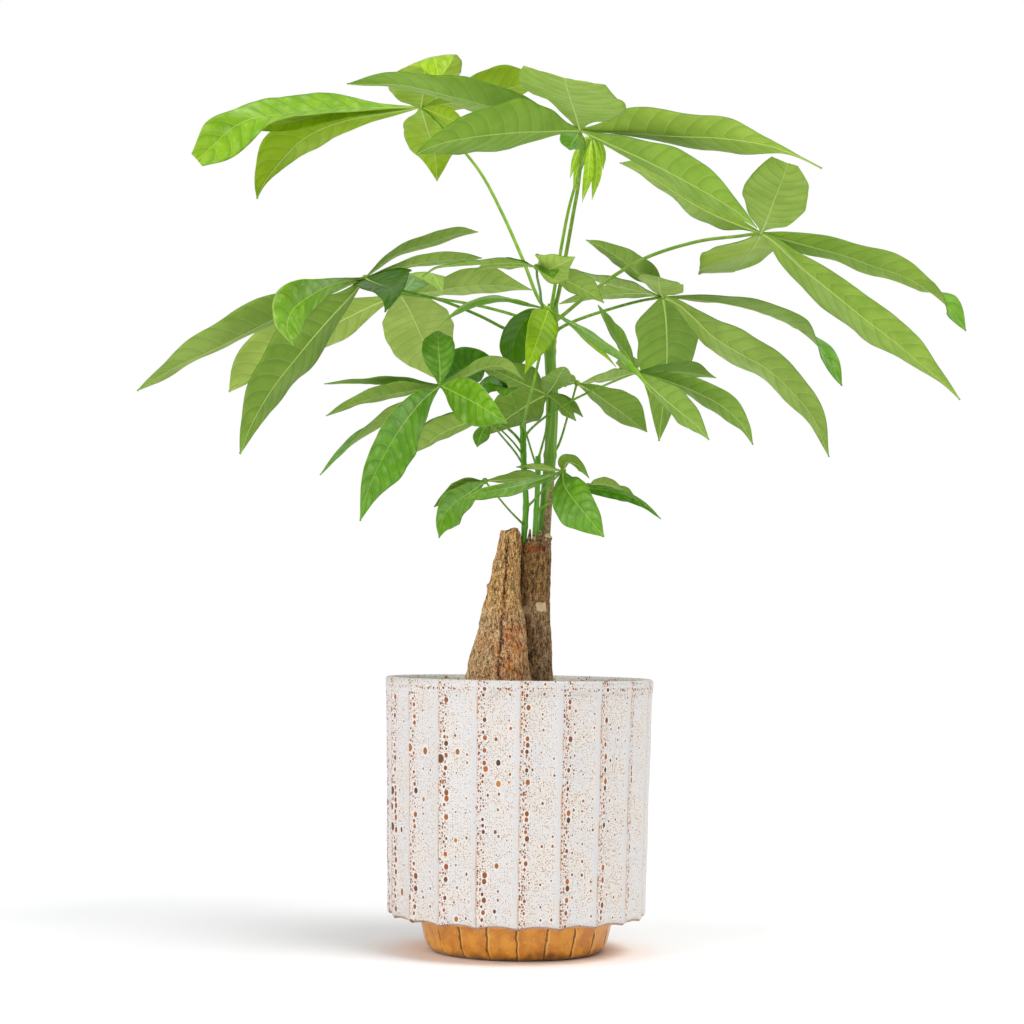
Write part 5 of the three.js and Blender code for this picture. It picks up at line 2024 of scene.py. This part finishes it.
                (456, 233, -40), (478, 232, -38)), left=LANCE_LONG, right=LANCE_LONG),
            Blade(14, 62, ((390, 270, -62), (415, 263, -65), (445, 259, -68), (482, 258, -68)),
                left=LANCE_LONG, right=LANCE_LONG),
            # painted shade: this wedge is made much darker
            Blade(33, 0, ((379, 282, -84), (391, 288, -104), (390, 300, -116), (385, 312, -122)),
                face=Face.UPPER, side=(1, 0, 0.3), left=(10, 80, 125, 120, 90, 65, 45, 22, 0),
                right=(10, 60, 80, 82, 78, 65, 50, 25, 0), tone=-1.6),
        ),
    ),
    Leaf(
        name="leaf_left_back", stalk_mm=(1.0, 0.8),
        stalk=((551, 333, 1), (540, 325, 5), (520, 317, 12), (480, 306, 28), (440, 299, 44),
            (400, 294, 60)),
        blades=(
            Blade(44, -48, ((368, 306, 68), (337, 320, 76), (295, 342, 84), (257, 368, 92), (229, 392, 98)),
                right=(4, 28, 62, 90, 110, 120, 115, 70, 0), tone=0.45),
            Blade(45, 0, ((408, 306, 82), (417, 325, 108), (426, 347, 132), (434, 365, 150),
                (441, 379, 158)), side=(1, 0.1, 0.3), full=0.75, tone=0.45),
            Blade(33, 60, ((430, 290, 68), (460, 284, 76), (495, 283, 82), (532, 290, 86)), tone=0.2),
            Blade(25, 0, ((410, 285, 38), (420, 275, 18), (433, 277, 2), (443, 293, -8)), side=(1, 0, 0),
                face=Face.UPPER),
        ),
    ),
    Leaf(
        name="leaf_left_low", stalk_mm=(0.85, 0.65),
        stalk=((523, 446, 0), (516, 436, -10), (500, 422, -27), (480, 408, -48), (458, 394, -68),
            (440, 385, -82)),
        blades=(
            Blade(17, -76, ((412, 382, -86), (380, 382, -90), (350, 382, -94), (324, 384, -98))),
            Blade(21, -66, ((412, 389, -92), (382, 394, -98), (352, 403, -104), (326, 416, -108))),
            Blade(28, (-56, -110), ((416, 401, -76), (386, 420, -70), (350, 443, -64), (320, 475, -60))),
            Blade(33, -48, ((424, 400, -98), (404, 427, -120), (384, 460, -134), (368, 493, -142),
                (360, 521, -146)), face=Face.UPPER, left=(4, 40, 85, 108, 112, 100, 75, 40, 0)),
            Blade(19, 0, ((440, 371, -82), (439, 355, -80), (438, 341, -74), (438, 331, -64)),
                face=Face.UPPER, side=(1, 0, 0), full=0.8),
            Blade(25, 22, ((455, 393, -96), (475, 404, -108), (492, 414, -116), (507, 423, -122)),
                face=Face.UPPER, tone=0.4),
            Blade(18, 66, ((460, 377, -86), (482, 366, -90), (503, 365, -90), (525, 380, -86))),
            Blade(24, -10, ((452, 376, -64), (467, 366, -44), (482, 361, -28), (497, 363, -18)),
                face=Face.UPPER, tone=-0.8),
        ),
    ),
    Leaf(
        name="leaf_left_small", stalk_mm=(0.7, 0.5),
        stalk=((524, 466, 0), (515, 452, -16), (500, 434, -40), (487, 418, -58)),
        blades=(
            Blade(22, -50, ((462, 423, -62), (440, 432, -66), (412, 453, -70)),
                left=(4, 30, 55, 70, 75, 70, 55, 30, 0), right=(4, 30, 60, 80, 95, 110, 115, 80, 0)),
            Blade(18, -76, ((462, 418, -56), (440, 420, -56), (416, 429, -56))),
        ),
    ),
    Leaf(
        name="leaf_left_tiny", stalk_mm=(0.6, 0.45),
        stalk=((523, 455, 0), (513, 442, -8), (501, 430, -15), (489, 421, -20)),
        blades=(
            Blade(10, -20, ((484, 429, -18), (480, 438, -14), (477, 447, -10)), face=Face.UPPER),
            Blade(7, 10, ((492, 427, -16), (490, 434, -12))),
        ),
    ),
    Leaf(
        name="leaf_inner_dark", stalk_mm=(0.65, 0.5),
        stalk=((538, 472, -3), (533, 456, -14), (522, 421, -34), (514, 402, -50), (509, 391, -58)),
        blades=(
            Blade(18, -56, ((498, 386, -62), (487, 384, -64), (476, 388, -66)), face=Face.UPPER, tone=-0.8),
            Blade(13, 0, ((508, 387, -66), (505, 392, -72), (504, 397, -76)), face=Face.UPPER,
                side=(1, 0, 0)),
        ),
    ),
    Leaf(
        name="leaf_base_left", stalk_mm=(0.65, 0.45),
        stalk=((525, 526, 2), (511, 512, -12), (498, 497, -26), (485, 481, -40)),
        blades=(
            Blade(15, -58, ((468, 485, -46), (450, 494, -50), (434, 507, -54)), tone=-0.5),
            Blade(24, -46, ((468, 495, -52), (451, 508, -60), (442, 523, -66), (439, 538, -70)),
                face=Face.UPPER, tone=0.1),
            Blade(14, 60, ((503, 479, -38), (524, 477, -34), (545, 477, -30)), tone=-0.4),
        ),
    ),
    Leaf(
        name="leaf_base_right", stalk_mm=(0.8, 0.6),
        stalk=((526, 508, 1), (534, 500, -10), (547, 486, -26), (563, 471, -48)),
        blades=(
            Blade(12, -52, ((545, 478, -60), (524, 485, -72), (505, 489, -82), (484, 493, -90),
                (465, 499, -96)), face=Face.UPPER, left=LANCE_LONG, right=LANCE_LONG, tone=0.3),
            Blade(28, 30, ((564, 486, -58), (574, 502, -66), (588, 519, -70), (604, 537, -70)),
                face=Face.UPPER, tone=0.15),
            Blade(12, 60, ((585, 487, -52), (612, 492, -54), (640, 502, -56), (661, 519, -56)),
                face=Face.UPPER, tone=-0.4),
            Blade(11, 50, ((566, 462, -56), (573, 462, -64), (581, 467, -72), (589, 478, -78)),
                left=LANCE_EARLY, right=LANCE_EARLY, tone=-0.8),
            Blade(8, -60, ((545, 468, -42), (530, 467, -38), (516, 467, -36))),
        ),
    ),
    Leaf(
        name="leaf_base_small", stalk_mm=(0.7, 0.5),
        stalk=((537, 511, -2), (546, 505, -5), (560, 500, -10), (575, 493, -16), (588, 486, -20)),
        blades=(
            Blade(16, 58, ((600, 487, -18), (618, 493, -14), (640, 504, -10)), tone=-0.5),
            Blade(12, 62, ((598, 483, -24), (610, 484, -28), (624, 489, -32))),
        ),
    ),
)


# ---------------------------------------------------------------- studio
class LampKind(Enum):
    """The two kinds of lamp: a broad one far away, and a soft square near by."""

    BROAD = "SUN"
    SOFT = "AREA"


@dataclass(frozen=True)
class Lamp:
    """A soft lamp that looks at the plant."""

    name: str
    kind: LampKind
    place: Point
    aim: Point
    size: float  # a soft lamp's side in metres, or the degrees that a broad lamp fills
    power: float
    shade: str = "#FFFFFF"

    def build(self) -> None:
        """Hangs the lamp."""
        data = bpy.data.lights.new(self.name, self.kind.value)
        if self.kind is LampKind.BROAD:
            data.angle = math.radians(self.size)
        else:
            data.shape = "SQUARE"
            data.size = self.size
        data.energy = self.power
        data.color = linear(self.shade)[:3]
        lamp = bpy.data.objects.new(self.name, data)
        bpy.context.scene.collection.objects.link(lamp)
        lamp.location = self.place
        lamp.rotation_mode = "QUATERNION"
        lamp.rotation_quaternion = (Vector(self.aim) - Vector(self.place)).to_track_quat("-Z", "Y")


@dataclass(frozen=True)
class Studio:
    """The white paper floor, the soft lamps, the sky and the camera."""

    floor_size: float = 12.0
    sky: float = 0.62
    lens: float = 84.375
    sensor: float = 36.0
    paper: Finish = StudioPaper("studio_paper")
    lamps: tuple[Lamp, ...] = (
        Lamp("key_lamp", LampKind.BROAD, (1.1, -0.76, 2.0), (0.0, 0.0, 0.0), 34, 1.75),
        Lamp("fill_lamp", LampKind.SOFT, (-1.7, -1.3, 0.9), (0.0, 0.0, 0.25), 1.8, 22, "#FBFBFF"),
    )

    def build(self) -> None:
        """Sets up everything round the part."""
        bm = bmesh.new()
        bmesh.ops.create_grid(bm, x_segments=1, y_segments=1, size=self.floor_size / 2)
        mesh = bpy.data.meshes.new("paper_floor")
        bm.to_mesh(mesh)
        bm.free()
        mesh.materials.append(self.paper.material())
        floor = bpy.data.objects.new("paper_floor", mesh)
        bpy.context.scene.collection.objects.link(floor)
        for lamp in self.lamps:
            lamp.build()
        self.backdrop()
        bpy.context.scene.view_settings.view_transform = "Standard"
        self.camera()

    def backdrop(self) -> None:
        """Sets a white backdrop, whose light on the part is softened so that its forms still read."""
        world = bpy.data.worlds.new("studio_backdrop")
        world.use_nodes = True
        tree = world.node_tree
        tree.nodes.clear()
        light = add_node(tree, "Background", ("#FFFFFF", self.sky))
        white = add_node(tree, "Background", ("#FFFFFF", 1.0))
        seen = add_node(tree, "LightPath").outputs["Is Camera Ray"]
        both = add_node(tree, "MixShader", (seen, light, white))
        add_node(tree, "OutputWorld", {"Surface": both})
        bpy.context.scene.world = world

    def camera(self) -> None:
        """Puts the camera at the eye of the sight grid."""
        data = bpy.data.cameras.new("camera")
        data.lens = self.lens
        data.sensor_width = self.sensor
        camera = bpy.data.objects.new("camera", data)
        bpy.context.scene.collection.objects.link(camera)
        across, away, up = GRID.turn().col
        turn = Matrix((across, up, -away)).transposed()
        camera.matrix_world = Matrix.Translation(Vector(GRID.eye)) @ turn.to_4x4()
        bpy.context.scene.camera = camera


def main() -> None:
    """Builds the part piece by piece round its frame."""
    logging.basicConfig(level=logging.INFO, format="%(message)s")
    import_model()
    Studio().build()
    for part in (Planter(), Soil(), *TRUNKS, *SHOOTS, *LEAVES):
        for piece in part.build():
            LOG.info("%s: %d faces", piece.name, len(piece.data.polygons))


if __name__ == "__main__":
    main()
